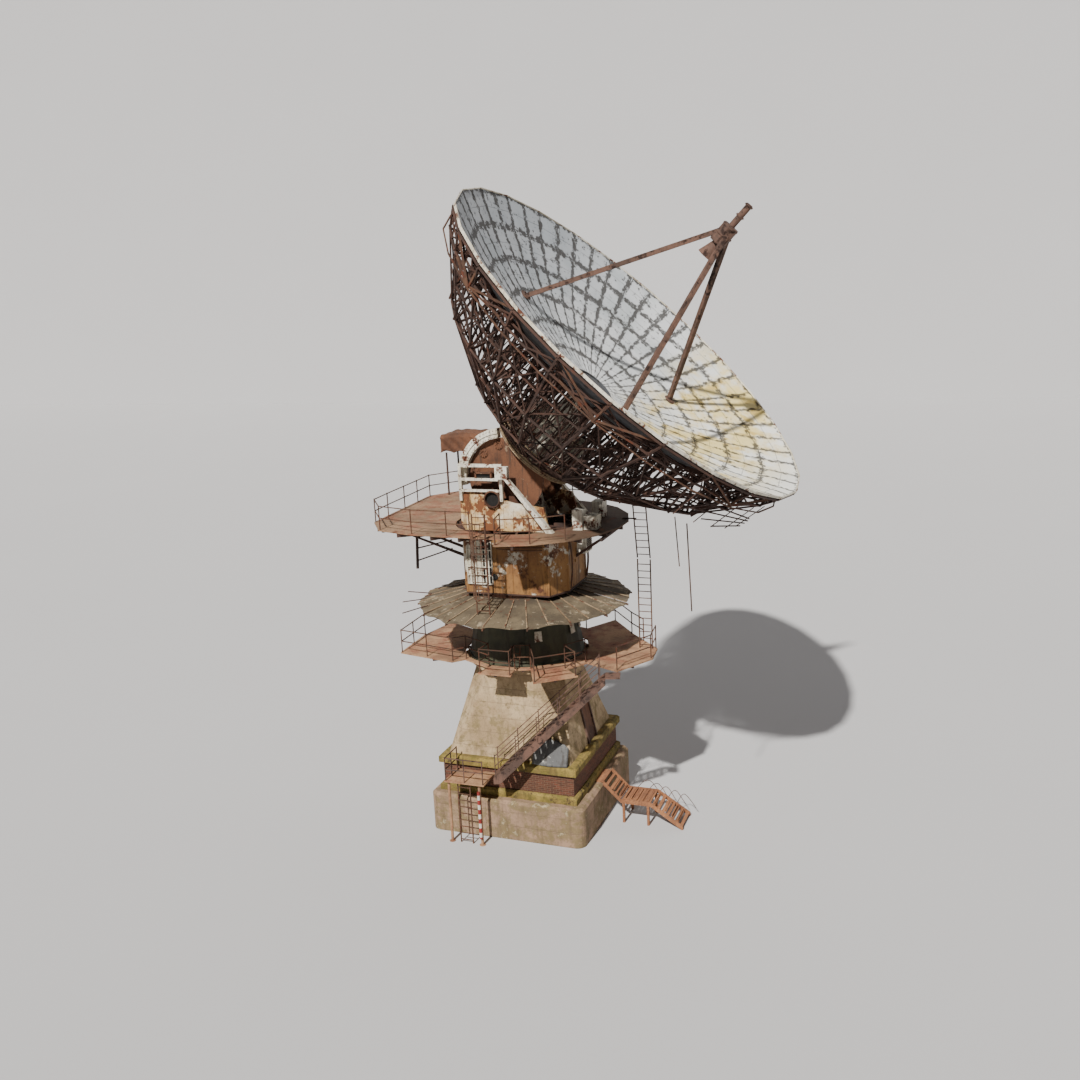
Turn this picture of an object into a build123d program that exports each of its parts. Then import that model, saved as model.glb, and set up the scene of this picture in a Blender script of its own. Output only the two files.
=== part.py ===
from build123d import *
from math import atan2, cos, degrees, hypot, pi, radians, sin, sqrt, tan
import os

# Tracking dish antenna on a concrete tower.  Millimetres, +Z up.  The origin is on the ground, on the
# azimuth axis; +X is the way the dish points at rest, so the elevation axis runs along Y.

# ---------------------------------------------------------------- driving dimensions
# concrete base
foundation_size = 6934
foundation_height = 1720
foundation_corner_radius = 420
foundation_edge_cut = 110
cornice_size = 6200
cornice_cut = 90
lower_cornice_height = 340
brick_size = 5900
brick_height = 920
upper_cornice_height = 340
tower_bottom_size = 5500
tower_top_size = 3900
tower_height = 3780
tower_cap_size = 5120
tower_cap_height = 150

# access decks: edges are (angle in degrees, radius); two radii at one angle make a radial edge
deck_thickness = 60
deck_beam_width = 90
lower_deck_beam_depth = 80
upper_deck_beam_depth = 170
lower_deck_hole_radius = 2710
upper_deck_hole_radius = 2780
lower_deck_edge = [(336, 5150), (357, 5700), (10, 5650), (34, 4830), (60, 5220), (60, 3500), (82, 3500),
                   (105, 3500), (128, 3500), (152, 3500), (152, 5470), (175, 5260), (201, 5520),
                   (227, 3540), (227, 2950), (258, 2950), (258, 3710), (281, 3700), (281, 2950),
                   (294, 2950), (294, 4590), (318, 4500), (318, 3500), (336, 3500)]
upper_deck_edge = [(278, 4600), (296, 4600), (314, 4600), (332, 4600), (350, 4600), (8, 4600),
                   (26, 4600), (44, 4600), (62, 4600), (80, 4600), (96, 4600), (112, 4600),
                   (126, 7400), (133, 8200), (145, 8050), (165, 6700), (180, 6400), (192, 6450),
                   (207, 6000), (222, 4850), (240, 3900), (255, 3500), (278, 3500)]
rail_height = 1000
rail_size = 36
rail_post_radius = 24
rail_edge_inset = 70
rail_post_pitch = 1500

# azimuth drum and turntable
drum_sides = 16
drum_bottom_radius = 2500
drum_top_radius = 2150
drum_height = 1950
drum_wall = 60
drum_door_side = 13
drum_door_height = 1560
drum_door_jamb = 90
drum_door_sill = 200
drum_door_sill_gap = 14
drum_door_latch_gap = 18
azimuth_bearing_height = 100
azimuth_bearing_width = 220
turntable_thickness = 120
turntable_radius = 2180
gear_module = 30
ring_gear_teeth = 70
azimuth_pinion_teeth = 14
gear_width = 110
king_tube_radius = 700
column_radius = 1900
column_wall = 60

# rain skirt over the drum
skirt_sides = 16
skirt_outer_radius = 4630
skirt_inner_radius = 2240
skirt_thickness = 30
skirt_rib_depth = 70
skirt_rib_width = 60

# equipment cabin
cabin_floor_level = 10300
cabin_floor_thickness = 60
cabin_height = 2340
cabin_front = 2050
cabin_left = 2200
cabin_right = 2400
cabin_cut_length = 500
cabin_cut_width = 950
cabin_wall = 60
cabin_post_radius = 60
cabin_roof_thickness = 80
cabin_door_width = 800
cabin_door_height = 1950
cabin_door_start = -950
cabin_door_latch_gap = 8

# elevation head and dish
elevation_axis_height = 15100
dish_elevation = 46
pedestal_inner = 850
pedestal_outer = 1200
cheek_inner = 1350
cheek_thickness = 50
cheek_radius = 1640
arch_outer_radius = 2050
arch_width = 300
arch_start = 95
arch_end = 190
casing_inner = 1720
casing_thickness = 130
elevation_gear_teeth = 64
elevation_pinion_teeth = 14
elevation_gear_module = 40
elevation_gear_width = 160
elevation_pinion_angle = 260
trunnion_radius = 180
hub_radius = 1850
hub_ring_width = 200
hub_ring_depth = 200
hub_ring_height = 1180
dish_radius = 8700
dish_depth = 2600
dish_rim_height = 7540
panel_thickness = 60
panel_seam = 3
panel_ring_radii = [800, 2120, 3440, 4760, 6080, 7400, 8700]
rib_count = 24
rib_chord_depth = 110
rib_thickness = 80
rib_strut_depth = 80
rib_back_nodes = [(1750, 1280), (4100, 2540), (6600, 4440), (8300, 6700)]
feed_leg_foot_radius = 4500
feed_leg_apex = 13040
feed_leg_size = 180
feed_box_apothem = 300
feed_box_height = 800
feed_tube_radius = 130
feed_tube_length = 1000
feed_horn_mouth_radius = 360
feed_horn_throat_radius = 170
feed_horn_length = 620

# ladders, stair and ramp
ladder_width = 600
ladder_stile = 50
ladder_rung = 30
rung_pitch = 295
stair_width = 800
stair_steps = 20
stair_start = (-450, -3850)
stair_end = (4350, -2550)
stair_landing_level = 2800
stringer_depth = 220
stringer_thickness = 50
tread_thickness = 40
ramp_width = 1400
ramp_near_side = -750
ramp_beam_depth = 170
ramp_beam_width = 70
ramp_board = 40

# clearances
touch_gap = 0.3
swing_gap = 3
panel_lift = 0.4

# ---------------------------------------------------------------- levels that follow
brick_level = foundation_height + lower_cornice_height
upper_cornice_level = brick_level + brick_height
tower_level = upper_cornice_level + upper_cornice_height
cap_level = tower_level + tower_height
drum_level = cap_level + tower_cap_height
lower_deck_top = drum_level + lower_deck_beam_depth + deck_thickness
drum_top = drum_level + drum_height
turntable_level = drum_top + azimuth_bearing_height + touch_gap
column_level = turntable_level + turntable_thickness
cabin_wall_level = cabin_floor_level + cabin_floor_thickness
cabin_roof_level = cabin_wall_level + cabin_height
roof_top = cabin_roof_level + cabin_roof_thickness
upper_deck_top = roof_top + upper_deck_beam_depth + deck_thickness
focal_length = dish_radius ** 2 / (4 * dish_depth)
dish_vertex_height = dish_rim_height - dish_depth
arch_inner_radius = cheek_radius + 20

dish_axis = Vector(cos(radians(dish_elevation)), 0, sin(radians(dish_elevation)))
dish_frame = Plane(origin=(0, 0, elevation_axis_height), x_dir=(0, 1, 0), z_dir=dish_axis)

os.makedirs("parts", exist_ok=True)


def save(name, part):
    """Label one finished piece and write it under its own name."""
    part.label = name
    export_step(part, f"parts/{name}.step")


# ---------------------------------------------------------------- shared shapes
def polar(radius, angle):
    return (radius * cos(radians(angle)), radius * sin(radians(angle)))


def radial_plane(angle, shift=0):
    """Plane through Z at an angle: x is the radius and y is the height."""
    out = Vector(*polar(1, angle), 0)
    return Plane(origin=(0, 0, 0), x_dir=out, z_dir=out.cross(Vector(0, 0, 1))).offset(shift)


def wedge(outline, start, end, start_inset=0, end_inset=0, end_outline=None):
    """Flat-sided piece of a ring between two radial planes, each moved in by its inset."""
    with BuildSketch(radial_plane(start, -start_inset)) as near:
        Polygon(*outline, align=None)
    with BuildSketch(radial_plane(end, end_inset)) as far:
        Polygon(*(end_outline or outline), align=None)
    loft([near.sketch, far.sketch], ruled=True)


def bar(start, end, width, depth, start_gap=0, end_gap=0):
    """Rectangular bar between two points, with its depth in the vertical plane."""
    start = Vector(*start)
    run = Vector(*end) - start
    along = run.normalized()
    side = Vector(1, 0, 0) if abs(along.Z) > 0.999 else along.cross(Vector(0, 0, 1))
    with BuildSketch(Plane(origin=start + along * start_gap, x_dir=side, z_dir=along)) as section:
        Rectangle(width, depth)
    extrude(section.sketch, amount=run.length - start_gap - end_gap)


def post(x, y, bottom, top, radius):
    with Locations((x, y, bottom)):
        Cylinder(radius, top - bottom, align=(Align.CENTER, Align.CENTER, Align.MIN))


def block(low, high):
    """Box given by its two opposite corners."""
    with Locations([Vector(*[(a + b) / 2 for a, b in zip(low, high)])]):
        Box(*[b - a for a, b in zip(low, high)])


def upright_plate(outline, near, far):
    """Plate in the XZ plane: the outline is (x, z), the thickness runs from y near to y far."""
    with BuildSketch(Plane(origin=(0, near, 0), x_dir=(1, 0, 0), z_dir=(0, -1, 0))) as side:
        Polygon(*outline, align=None)
    extrude(side.sketch, amount=near - far)


def fold_angle(angle):
    return (angle + 180) % 360 - 180


def deck_spans(edge):
    """Neighbouring corners of a deck edge that span an angle."""
    pairs = zip(edge, edge[1:] + edge[:1])
    return [(a, b) for a, b in pairs if a[0] != b[0]]


def deck_plates(edge, hole_radius, top):
    bottom = top - deck_thickness
    for (angle_a, radius_a), (angle_b, radius_b) in deck_spans(edge):
        outlines = [[(hole_radius, bottom), (r, bottom), (r, top), (hole_radius, top)]
                    for r in (radius_a, radius_b)]
        wedge(outlines[0], angle_a, angle_b, panel_seam / 2, panel_seam / 2, outlines[1])


def deck_beams(edge, inner_radius, top, depth):
    """One radial beam under the middle of each plate."""
    for (angle_a, radius_a), (angle_b, radius_b) in deck_spans(edge):
        half = (angle_b - angle_a) % 360 / 2
        chord = 2 * radius_a * radius_b * cos(radians(half)) / (radius_a + radius_b)
        level = top - depth / 2
        bar((*polar(inner_radius, angle_a + half), level), (*polar(chord - 40, angle_a + half), level),
            deck_beam_width, depth)


def spaced(points, pitch):
    """Points along a closed polyline, with posts no further apart than the pitch."""
    result = []
    for (xa, ya), (xb, yb) in zip(points, points[1:] + points[:1]):
        parts = max(1, round(hypot(xb - xa, yb - ya) / pitch))
        result += [(xa + (xb - xa) * k / parts, ya + (yb - ya) * k / parts) for k in range(parts)]
    return result


def railing(points, base, openings=(), closed=True):
    """Round posts with two rails between neighbours; spans near an opening stay free."""
    links = list(zip(points, points[1:] + points[:1] if closed else points[1:]))
    spans = []
    for a, b in links:
        middle = ((a[0] + b[0]) / 2, (a[1] + b[1]) / 2)
        if all(hypot(middle[0] - x, middle[1] - y) > reach for x, y, reach in openings):
            spans.append((a, b))
    for x, y in {end for span in spans for end in span}:
        post(x, y, base, base + rail_height + rail_size, rail_post_radius)
    gap = rail_post_radius + touch_gap
    for a, b in spans:
        for height in (rail_height / 2, rail_height):
            bar((*a, base + height), (*b, base + height), rail_size, rail_size, gap, gap)


def deck_rail_points(edge):
    return spaced([polar(radius - rail_edge_inset, angle + shift) for angle, radius, shift in
                   rail_corners(edge)], rail_post_pitch)


def rail_corners(edge):
    """Deck corners with the angle moved inwards at radial edges, so that posts stand on the plates."""
    count = len(edge)
    for k, (angle, radius) in enumerate(edge):
        before, after = edge[k - 1], edge[(k + 1) % count]
        inset = degrees(rail_edge_inset / radius)
        if after[0] == angle:
            yield angle, radius, -inset if after[1] < radius else inset * 0
        elif before[0] == angle:
            yield angle, radius, inset if before[1] < radius else 0
        else:
            yield angle, radius, 0


def ladder(x, y, bottom, top, lean=0, first_rung=150):
    """Upright ladder that faces -Y; the lean moves its top along X."""
    def side_x(level):
        return x + lean * (level - bottom) / (top - bottom)
    for side in (-1, 1):
        edge = side * (ladder_width - ladder_stile) / 2
        low = x + edge - ladder_stile / 2
        high = low + lean
        upright_plate([(low, bottom), (low + ladder_stile, bottom), (high + ladder_stile, top),
                       (high, top)], y, y + ladder_rung)
    reach = ladder_width / 2 - ladder_stile - touch_gap
    level = bottom + first_rung
    slope = abs(lean) / (top - bottom) * ladder_rung / 2
    while level < top - ladder_rung:
        block((side_x(level) - reach + slope, y, level - ladder_rung / 2),
              (side_x(level) + reach - slope, y + ladder_rung, level + ladder_rung / 2))
        level += rung_pitch


def involute_gear(teeth, module, first=0, last=None, centre=(0, 0), turn=0):
    """Outline points of a spur gear: a tooth points along the turn angle from the centre."""
    backlash = 0.08
    addendum = 0.92
    last = teeth - 1 if last is None else last
    pitch = module * teeth / 2
    base = pitch * cos(radians(20))
    root = pitch - 1.25 * module
    tip = pitch + addendum * module
    half_pitch_tooth = (pi / 2 - backlash) / teeth
    roll = tan(radians(20)) - radians(20)
    points = []
    for tooth in range(first, last + 1):
        middle = 2 * pi * tooth / teeth
        flank = []
        for k in range(5):
            radius = max(base, root) + (tip - max(base, root)) * k / 4
            along = sqrt(max(0, (radius / base) ** 2 - 1))
            half = half_pitch_tooth + roll - (along - atan2(along, 1))
            flank.append((radius, half))
        if root < base:
            flank.insert(0, (root, flank[0][1]))
        points += [(radius, degrees(middle - half)) for radius, half in flank]
        points += [(radius, degrees(middle + half)) for radius, half in reversed(flank)]
    spots = [polar(radius, angle + turn) for radius, angle in points]
    return [(x + centre[0], y + centre[1]) for x, y in spots]


# ---------------------------------------------------------------- concrete base
with BuildPart() as foundation_block:
    with BuildSketch():
        RectangleRounded(foundation_size, foundation_size, foundation_corner_radius)
    extrude(amount=foundation_height)
    chamfer(foundation_block.faces().sort_by(Axis.Z)[-1].edges(), foundation_edge_cut)
save("foundation_block", foundation_block.part)

with BuildPart() as plinth_cornices:
    for level, height in ((foundation_height, lower_cornice_height),
                          (upper_cornice_level, upper_cornice_height)):
        with Locations((0, 0, level)):
            Box(cornice_size, cornice_size, height, align=(Align.CENTER, Align.CENTER, Align.MIN))
    tops = plinth_cornices.faces().filter_by(Axis.Z).group_by(Axis.Z)
    chamfer(tops[1].edges(), cornice_cut)
    chamfer(plinth_cornices.faces().sort_by(Axis.Z)[-1].edges(), cornice_cut)
save("plinth_cornices", plinth_cornices.part)

with BuildPart() as plinth_brick_course:
    with Locations((0, 0, brick_level)):
        Box(brick_size, brick_size, brick_height, align=(Align.CENTER, Align.CENTER, Align.MIN))
save("plinth_brick_course", plinth_brick_course.part)


def cut_square(size, corner):
    """Square with its four corners cut off at 45 degrees."""
    half = size / 2
    near = half - corner
    Polygon((half, -near), (half, near), (near, half), (-near, half), (-half, near), (-half, -near),
            (-near, -half), (near, -half), align=None)


octagon_cut = 1 - tan(pi / 8)
with BuildPart() as concrete_tower:
    with BuildSketch(Plane.XY.offset(tower_level)):
        cut_square(tower_bottom_size, 60)
    with BuildSketch(Plane.XY.offset(cap_level)):
        cut_square(tower_top_size, octagon_cut * tower_top_size / 2)
    loft(ruled=True)
save("concrete_tower", concrete_tower.part)

with BuildPart() as tower_cap_slab:
    with BuildSketch(Plane.XY.offset(cap_level)):
        cut_square(tower_cap_size, octagon_cut * tower_cap_size / 2)
    extrude(amount=tower_cap_height)
save("tower_cap_slab", tower_cap_slab.part)

# ---------------------------------------------------------------- lower deck
tall_ladder_place = (5080, 900)
with BuildPart() as lower_deck_beams:
    deck_beams(lower_deck_edge, drum_bottom_radius + 20, drum_level + lower_deck_beam_depth,
               lower_deck_beam_depth)
save("lower_deck_beams", lower_deck_beams.part)

with BuildPart() as lower_deck_plates:
    deck_plates(lower_deck_edge, lower_deck_hole_radius, lower_deck_top)
save("lower_deck_plates", lower_deck_plates.part)

with BuildPart() as lower_deck_railing:
    railing(deck_rail_points(lower_deck_edge), lower_deck_top,
            [(4400, -2000, 700), (*tall_ladder_place, 500)])
save("lower_deck_railing", lower_deck_railing.part)


# ---------------------------------------------------------------- azimuth drum
def drum_radius_at(level):
    share = (level - drum_level) / drum_height
    return drum_bottom_radius + (drum_top_radius - drum_bottom_radius) * share


def drum_outline(bottom, top, outside=0, wall=drum_wall):
    low, high = drum_radius_at(bottom) + outside, drum_radius_at(top) + outside
    return [(low - wall, bottom), (low, bottom), (high, top), (high - wall, top)]


side_angle = 360 / drum_sides
door_start = (drum_door_side - 1) * side_angle
door_end = door_start + side_angle
door_top = drum_level + drum_door_height
door_sill_top = drum_level + drum_door_sill
seam = panel_seam / 2
with BuildPart() as drum_wall_panels:
    for side in range(drum_sides):
        start = side * side_angle
        if abs(fold_angle(start - door_start)) < 1:
            jamb = drum_outline(drum_level, drum_top)
            wedge(jamb, start, start, seam, -drum_door_jamb)
            wedge(jamb, start + side_angle, start + side_angle, -drum_door_jamb, seam)
            lintel_inset = drum_door_jamb + touch_gap
            for sill_or_lintel in (drum_outline(drum_level, door_sill_top),
                                   drum_outline(door_top, drum_top)):
                wedge(sill_or_lintel, start, start + side_angle, lintel_inset, lintel_inset)
        else:
            wedge(drum_outline(drum_level, drum_top), start, start + side_angle, seam, seam)
save("drum_wall_panels", drum_wall_panels.part)

with BuildPart() as drum_windows:
    for angle in (-48, -16, 20, 160, 200):
        level = drum_level + 0.55 * drum_height
        side = round((angle - side_angle / 2) / side_angle)
        start = side * side_angle
        wedge(drum_outline(level, level + 420, 40, 40 - touch_gap), start, start + side_angle, 300, 300)
save("drum_windows", drum_windows.part)


# The door opens inwards about its inner edge.  The wall leans, so the leaf drops as it opens and its
# outer corner swings wide: the gaps at the sill and at the latch leave room for both.
leaf_inset = drum_door_jamb + swing_gap
leaf_latch_inset = drum_door_jamb + drum_door_latch_gap
leaf_bottom = door_sill_top + drum_door_sill_gap
leaf_top = door_top - swing_gap
with BuildPart() as drum_door:
    wedge(drum_outline(leaf_bottom, leaf_top), door_start, door_end, leaf_inset, leaf_latch_inset)
    wedge(drum_outline(leaf_bottom + 700, leaf_bottom + 850, 60, 60 + 1), door_start, door_end,
          leaf_inset + 560, leaf_inset + 60)
save("drum_door", drum_door.part)

# ---------------------------------------------------------------- inside the drum
king_tube_top = drum_top - 2 * gear_width
with BuildPart() as king_tube:
    with BuildSketch(Plane.XY.offset(drum_level)):
        RegularPolygon(king_tube_radius, drum_sides)
    extrude(amount=king_tube_top - drum_level)
save("king_tube", king_tube.part)

with BuildPart() as azimuth_ring_gear:
    with BuildSketch(Plane.XY.offset(king_tube_top)):
        Polygon(*involute_gear(ring_gear_teeth, gear_module), align=None)
    extrude(amount=gear_width)
save("azimuth_ring_gear", azimuth_ring_gear.part)

with BuildPart() as azimuth_bearing_ring:
    inner = drum_top_radius - azimuth_bearing_width
    for side in range(drum_sides):
        wedge([(inner, drum_top), (drum_top_radius, drum_top),
               (drum_top_radius, drum_top + azimuth_bearing_height),
               (inner, drum_top + azimuth_bearing_height)],
              side * side_angle, (side + 1) * side_angle, seam / 4, seam / 4)
save("azimuth_bearing_ring", azimuth_bearing_ring.part)

pinion_angle = 215
pinion_reach = gear_module * (ring_gear_teeth + azimuth_pinion_teeth) / 2
pinion_place = polar(pinion_reach, pinion_angle)
# a pinion gap faces the ring gear tooth that is nearest to the line of centres
ring_pitch_angle = 360 / ring_gear_teeth
nearest_tooth = round(pinion_angle / ring_pitch_angle) * ring_pitch_angle
pinion_turn = pinion_angle + 180 - (nearest_tooth - pinion_angle) * ring_gear_teeth / azimuth_pinion_teeth
pinion_turn += 180 / azimuth_pinion_teeth
with BuildPart() as azimuth_pinion:
    with BuildSketch(Plane.XY.offset(king_tube_top)):
        Polygon(*involute_gear(azimuth_pinion_teeth, gear_module, centre=pinion_place,
                               turn=pinion_turn), align=None)
    extrude(amount=gear_width)
    post(*pinion_place, king_tube_top + gear_width, drum_top - touch_gap, 70)
save("azimuth_pinion", azimuth_pinion.part)

# ---------------------------------------------------------------- turntable, column and motor
with BuildPart() as turntable:
    with BuildSketch(Plane.XY.offset(turntable_level)):
        RegularPolygon(turntable_radius, drum_sides, rotation=side_angle / 2)
    extrude(amount=turntable_thickness)
save("turntable", turntable.part)

with BuildPart() as azimuth_motor:
    post(*pinion_place, drum_top, turntable_level, 210)
    post(*pinion_place, column_level, column_level + 520, 170)
save("azimuth_motor", azimuth_motor.part)

with BuildPart() as turret_column_panels:
    for side in range(drum_sides):
        wedge([(column_radius - column_wall, column_level), (column_radius, column_level),
               (column_radius, cabin_floor_level), (column_radius - column_wall, cabin_floor_level)],
              side * side_angle, (side + 1) * side_angle, seam / 4, seam / 4)
save("turret_column_panels", turret_column_panels.part)

# ---------------------------------------------------------------- rain skirt
skirt_angle = 360 / skirt_sides
skirt_low = turntable_level + 300
skirt_high = cabin_floor_level - 140


def skirt_level(radius):
    share = (radius - skirt_inner_radius) / (skirt_outer_radius - skirt_inner_radius)
    return skirt_high + (skirt_low - skirt_high) * share


with BuildPart() as skirt_ribs:
    for side in range(skirt_sides):
        radii = (column_radius + 1, skirt_outer_radius - 10)
        half = skirt_rib_width / 2
        # the flat panels fall away from the ridge, so the rib's flat top stands a little lower
        slope = (skirt_high - skirt_low) / (skirt_outer_radius - skirt_inner_radius)
        drop = slope * half * tan(radians(skirt_angle / 2))
        tops = [(r, skirt_level(r) - drop) for r in radii]
        outline = [(r, level - skirt_rib_depth) for r, level in tops] + tops[::-1]
        wedge(outline, side * skirt_angle, side * skirt_angle, -half, -half)
save("skirt_ribs", skirt_ribs.part)

with BuildPart() as skirt_panels:
    for side in range(skirt_sides):
        outline = [(r, skirt_level(r) + lift) for r, lift in
                   ((skirt_inner_radius, touch_gap), (skirt_outer_radius, touch_gap),
                    (skirt_outer_radius, skirt_thickness), (skirt_inner_radius, skirt_thickness))]
        wedge(outline, side * skirt_angle, (side + 1) * skirt_angle, seam, seam)
save("skirt_panels", skirt_panels.part)

# ---------------------------------------------------------------- equipment cabin
cabin_corners = [(-cabin_left, -cabin_front + cabin_cut_width),
                 (-cabin_left + cabin_cut_length, -cabin_front),
                 (cabin_right - cabin_cut_length, -cabin_front),
                 (cabin_right, -cabin_front + cabin_cut_width),
                 (cabin_right, cabin_front - cabin_cut_width),
                 (cabin_right - cabin_cut_length, cabin_front),
                 (-cabin_left + cabin_cut_length, cabin_front),
                 (-cabin_left, cabin_front - cabin_cut_width)]

with BuildPart() as cabin_floor_and_roof:
    for level, thickness in ((cabin_floor_level, cabin_floor_thickness),
                             (cabin_roof_level, cabin_roof_thickness)):
        with BuildSketch(Plane.XY.offset(level)) as slab:
            Polygon(*cabin_corners, align=None)
            offset(amount=cabin_post_radius)
        extrude(slab.sketch, amount=thickness)
save("cabin_floor_and_roof", cabin_floor_and_roof.part)

with BuildPart() as cabin_corner_posts:
    for x, y in cabin_corners:
        post(x, y, cabin_wall_level, cabin_roof_level, cabin_post_radius)
save("cabin_corner_posts", cabin_corner_posts.part)

door_sill = cabin_wall_level + 40
door_head = door_sill + cabin_door_height
door_stop = cabin_door_start + cabin_door_width
with BuildPart() as cabin_wall_panels:
    middle = (cabin_wall_level + cabin_roof_level) / 2
    gap = cabin_post_radius + touch_gap
    for start, end in zip(cabin_corners, cabin_corners[1:] + cabin_corners[:1]):
        if start[0] == end[0] == cabin_right:
            continue
        bar((*start, middle), (*end, middle), cabin_wall, cabin_height, gap, gap)
    door_wall = (cabin_right - cabin_wall / 2, cabin_right + cabin_wall / 2)
    wall_ends = (-cabin_front + cabin_cut_width + gap, cabin_front - cabin_cut_width - gap)
    block((door_wall[0], wall_ends[0], cabin_wall_level),
          (door_wall[1], cabin_door_start - swing_gap, cabin_roof_level))
    block((door_wall[0], door_stop + swing_gap, cabin_wall_level),
          (door_wall[1], wall_ends[1], cabin_roof_level))
    block((door_wall[0], cabin_door_start - swing_gap + touch_gap, door_head + swing_gap),
          (door_wall[1], door_stop + swing_gap - touch_gap, cabin_roof_level))
    block((door_wall[0], cabin_door_start - swing_gap + touch_gap, cabin_wall_level),
          (door_wall[1], door_stop + swing_gap - touch_gap, door_sill - swing_gap))
save("cabin_wall_panels", cabin_wall_panels.part)

with BuildPart() as cabin_door:
    # the leaf's latch corner swings a little wide of its closed place, so its gap is the larger one
    leaf_edge = door_stop + swing_gap - cabin_door_latch_gap
    block((door_wall[0], cabin_door_start, door_sill), (door_wall[1], leaf_edge, door_head))
    handle_x = door_wall[1] + 50
    block((door_wall[1] - 1, door_stop - 110, door_sill + 950), (handle_x, door_stop - 90, door_sill + 1090))
    post(door_wall[1] + 14, cabin_door_start - 2, door_sill + 200, door_sill + 320, 13)
    post(door_wall[1] + 14, cabin_door_start - 2, door_head - 320, door_head - 200, 13)
    for level in (door_sill + 200, door_head - 320):
        block((door_wall[1] - 1, cabin_door_start + 1, level), (door_wall[1] + 10, cabin_door_start + 120,
              level + 120))
save("cabin_door", cabin_door.part)

# ---------------------------------------------------------------- upper deck
deck_underside = upper_deck_top - deck_thickness
strut_beam = 110
left_beam_x = -5720
right_beam_x = 4180
with BuildPart() as upper_deck_beams:
    deck_beams(upper_deck_edge, 1500, deck_underside, upper_deck_beam_depth)
save("upper_deck_beams", upper_deck_beams.part)

with BuildPart() as upper_deck_plates:
    deck_plates(upper_deck_edge, upper_deck_hole_radius, upper_deck_top)
save("upper_deck_plates", upper_deck_plates.part)

with BuildPart() as upper_deck_struts:
    head = roof_top - touch_gap
    foot = cabin_wall_level + 1150
    # the right-hand struts stand between the cabin door's sweep and the side cabinet, and behind it
    for wall, reach, rows, (low, high) in (
            (-cabin_left - cabin_wall / 2, left_beam_x, (-900, 0, 900), (-1800, 1800)),
            (cabin_right + cabin_wall / 2, right_beam_x, (-40, 1000), (-1850, 1900))):
        way = 1 if reach > 0 else -1
        wall += way * touch_gap
        block((min(reach, reach - way * strut_beam), low, head - strut_beam),
              (max(reach, reach - way * strut_beam), high, head))
        under = head - strut_beam - touch_gap
        for row in rows:
            upright_plate([(wall, foot), (wall, foot + 130), (reach - way * strut_beam, under),
                           (reach, under)], row - 40, row + 40)
save("upper_deck_struts", upper_deck_struts.part)

cabin_ladder_place = (-350, -3620)
hanging_ladder_place = (4960, 900)
with BuildPart() as upper_deck_railing:
    railing(deck_rail_points(upper_deck_edge), upper_deck_top,
            [(-150, -3400, 800), (4500, 300, 3300), (3500, 3500, 2100)])
save("upper_deck_railing", upper_deck_railing.part)

canopy_posts_at = [(-5700, 4950), (-5500, 5800), (-3500, 4900), (-4300, 5750)]
canopy_height = 2050
with BuildPart() as canopy_posts:
    for x, y in canopy_posts_at:
        post(x, y, upper_deck_top, upper_deck_top + canopy_height, 45)
save("canopy_posts", canopy_posts.part)

with BuildPart() as canopy_roof:
    under = upper_deck_top + canopy_height + touch_gap
    upright_plate([(-5980, under), (-3150, under), (-3150, under + 1150), (-3900, under + 1060),
                   (-4600, under + 1120), (-5500, under + 900), (-5980, under + 800)], 4650, 6000)
save("canopy_roof", canopy_roof.part)

with BuildPart() as cabin_ladder:
    ladder(*cabin_ladder_place, skirt_level(3640) + 60, upper_deck_top + 1000)
    for side in (-1, 1):
        x = cabin_ladder_place[0] + side * (ladder_width - ladder_stile) / 2
        block((x - 20, cabin_ladder_place[1] + ladder_rung + touch_gap, upper_deck_top + touch_gap),
              (x + 20, cabin_ladder_place[1] + 380, upper_deck_top + 40))
save("cabin_ladder", cabin_ladder.part)

tall_ladder_top = 11300
with BuildPart() as hanging_ladder:
    ladder(hanging_ladder_place[0] + 120, hanging_ladder_place[1], tall_ladder_top + 60,
           upper_deck_top + 900, lean=-160)
    for side in (-1, 1):
        y = hanging_ladder_place[1] + (ladder_rung + 22 if side > 0 else -22)
        block((4200, y - 20, upper_deck_top + touch_gap), (4800, y + 20, upper_deck_top + 40))
save("hanging_ladder", hanging_ladder.part)

with BuildPart() as fixed_ladders:
    ladder(*tall_ladder_place, lower_deck_top + touch_gap, tall_ladder_top)
    ladder(-1450, -4230, 0, stair_landing_level - 50 - touch_gap)
save("fixed_ladders", fixed_ladders.part)

# ---------------------------------------------------------------- elevation head, fixed side
axis_level = elevation_axis_height
with BuildPart() as bearing_pedestals:
    bore_gap = 0.08
    for side in (-1, 1):
        near, far = sorted((side * pedestal_inner, side * pedestal_outer))
        upright_plate([(-800, roof_top), (800, roof_top), (430, axis_level - 420),
                       (-430, axis_level - 420)], near, far)
        with BuildSketch(Plane(origin=(0, near, 0), x_dir=(1, 0, 0), z_dir=(0, -1, 0))) as housing:
            with Locations((0, axis_level)):
                Rectangle(860, 840 - 2 * touch_gap)
                Circle(trunnion_radius + bore_gap, mode=Mode.SUBTRACT)
        extrude(housing.sketch, amount=near - far)
save("bearing_pedestals", bearing_pedestals.part)

with BuildPart() as side_casings:
    for side in (-1, 1):
        near, far = sorted((side * casing_inner, side * (casing_inner + casing_thickness)))
        foot = roof_top + upper_deck_beam_depth + touch_gap
        upright_plate([(-1900, foot + 260), (-1750, foot), (1700, foot), (1900, foot + 260),
                       (1750, axis_level - 1150), (500, axis_level - 1000),
                       (-700, axis_level - 700), (-1900, axis_level - 420)], near, far)
save("side_casings", side_casings.part)

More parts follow.
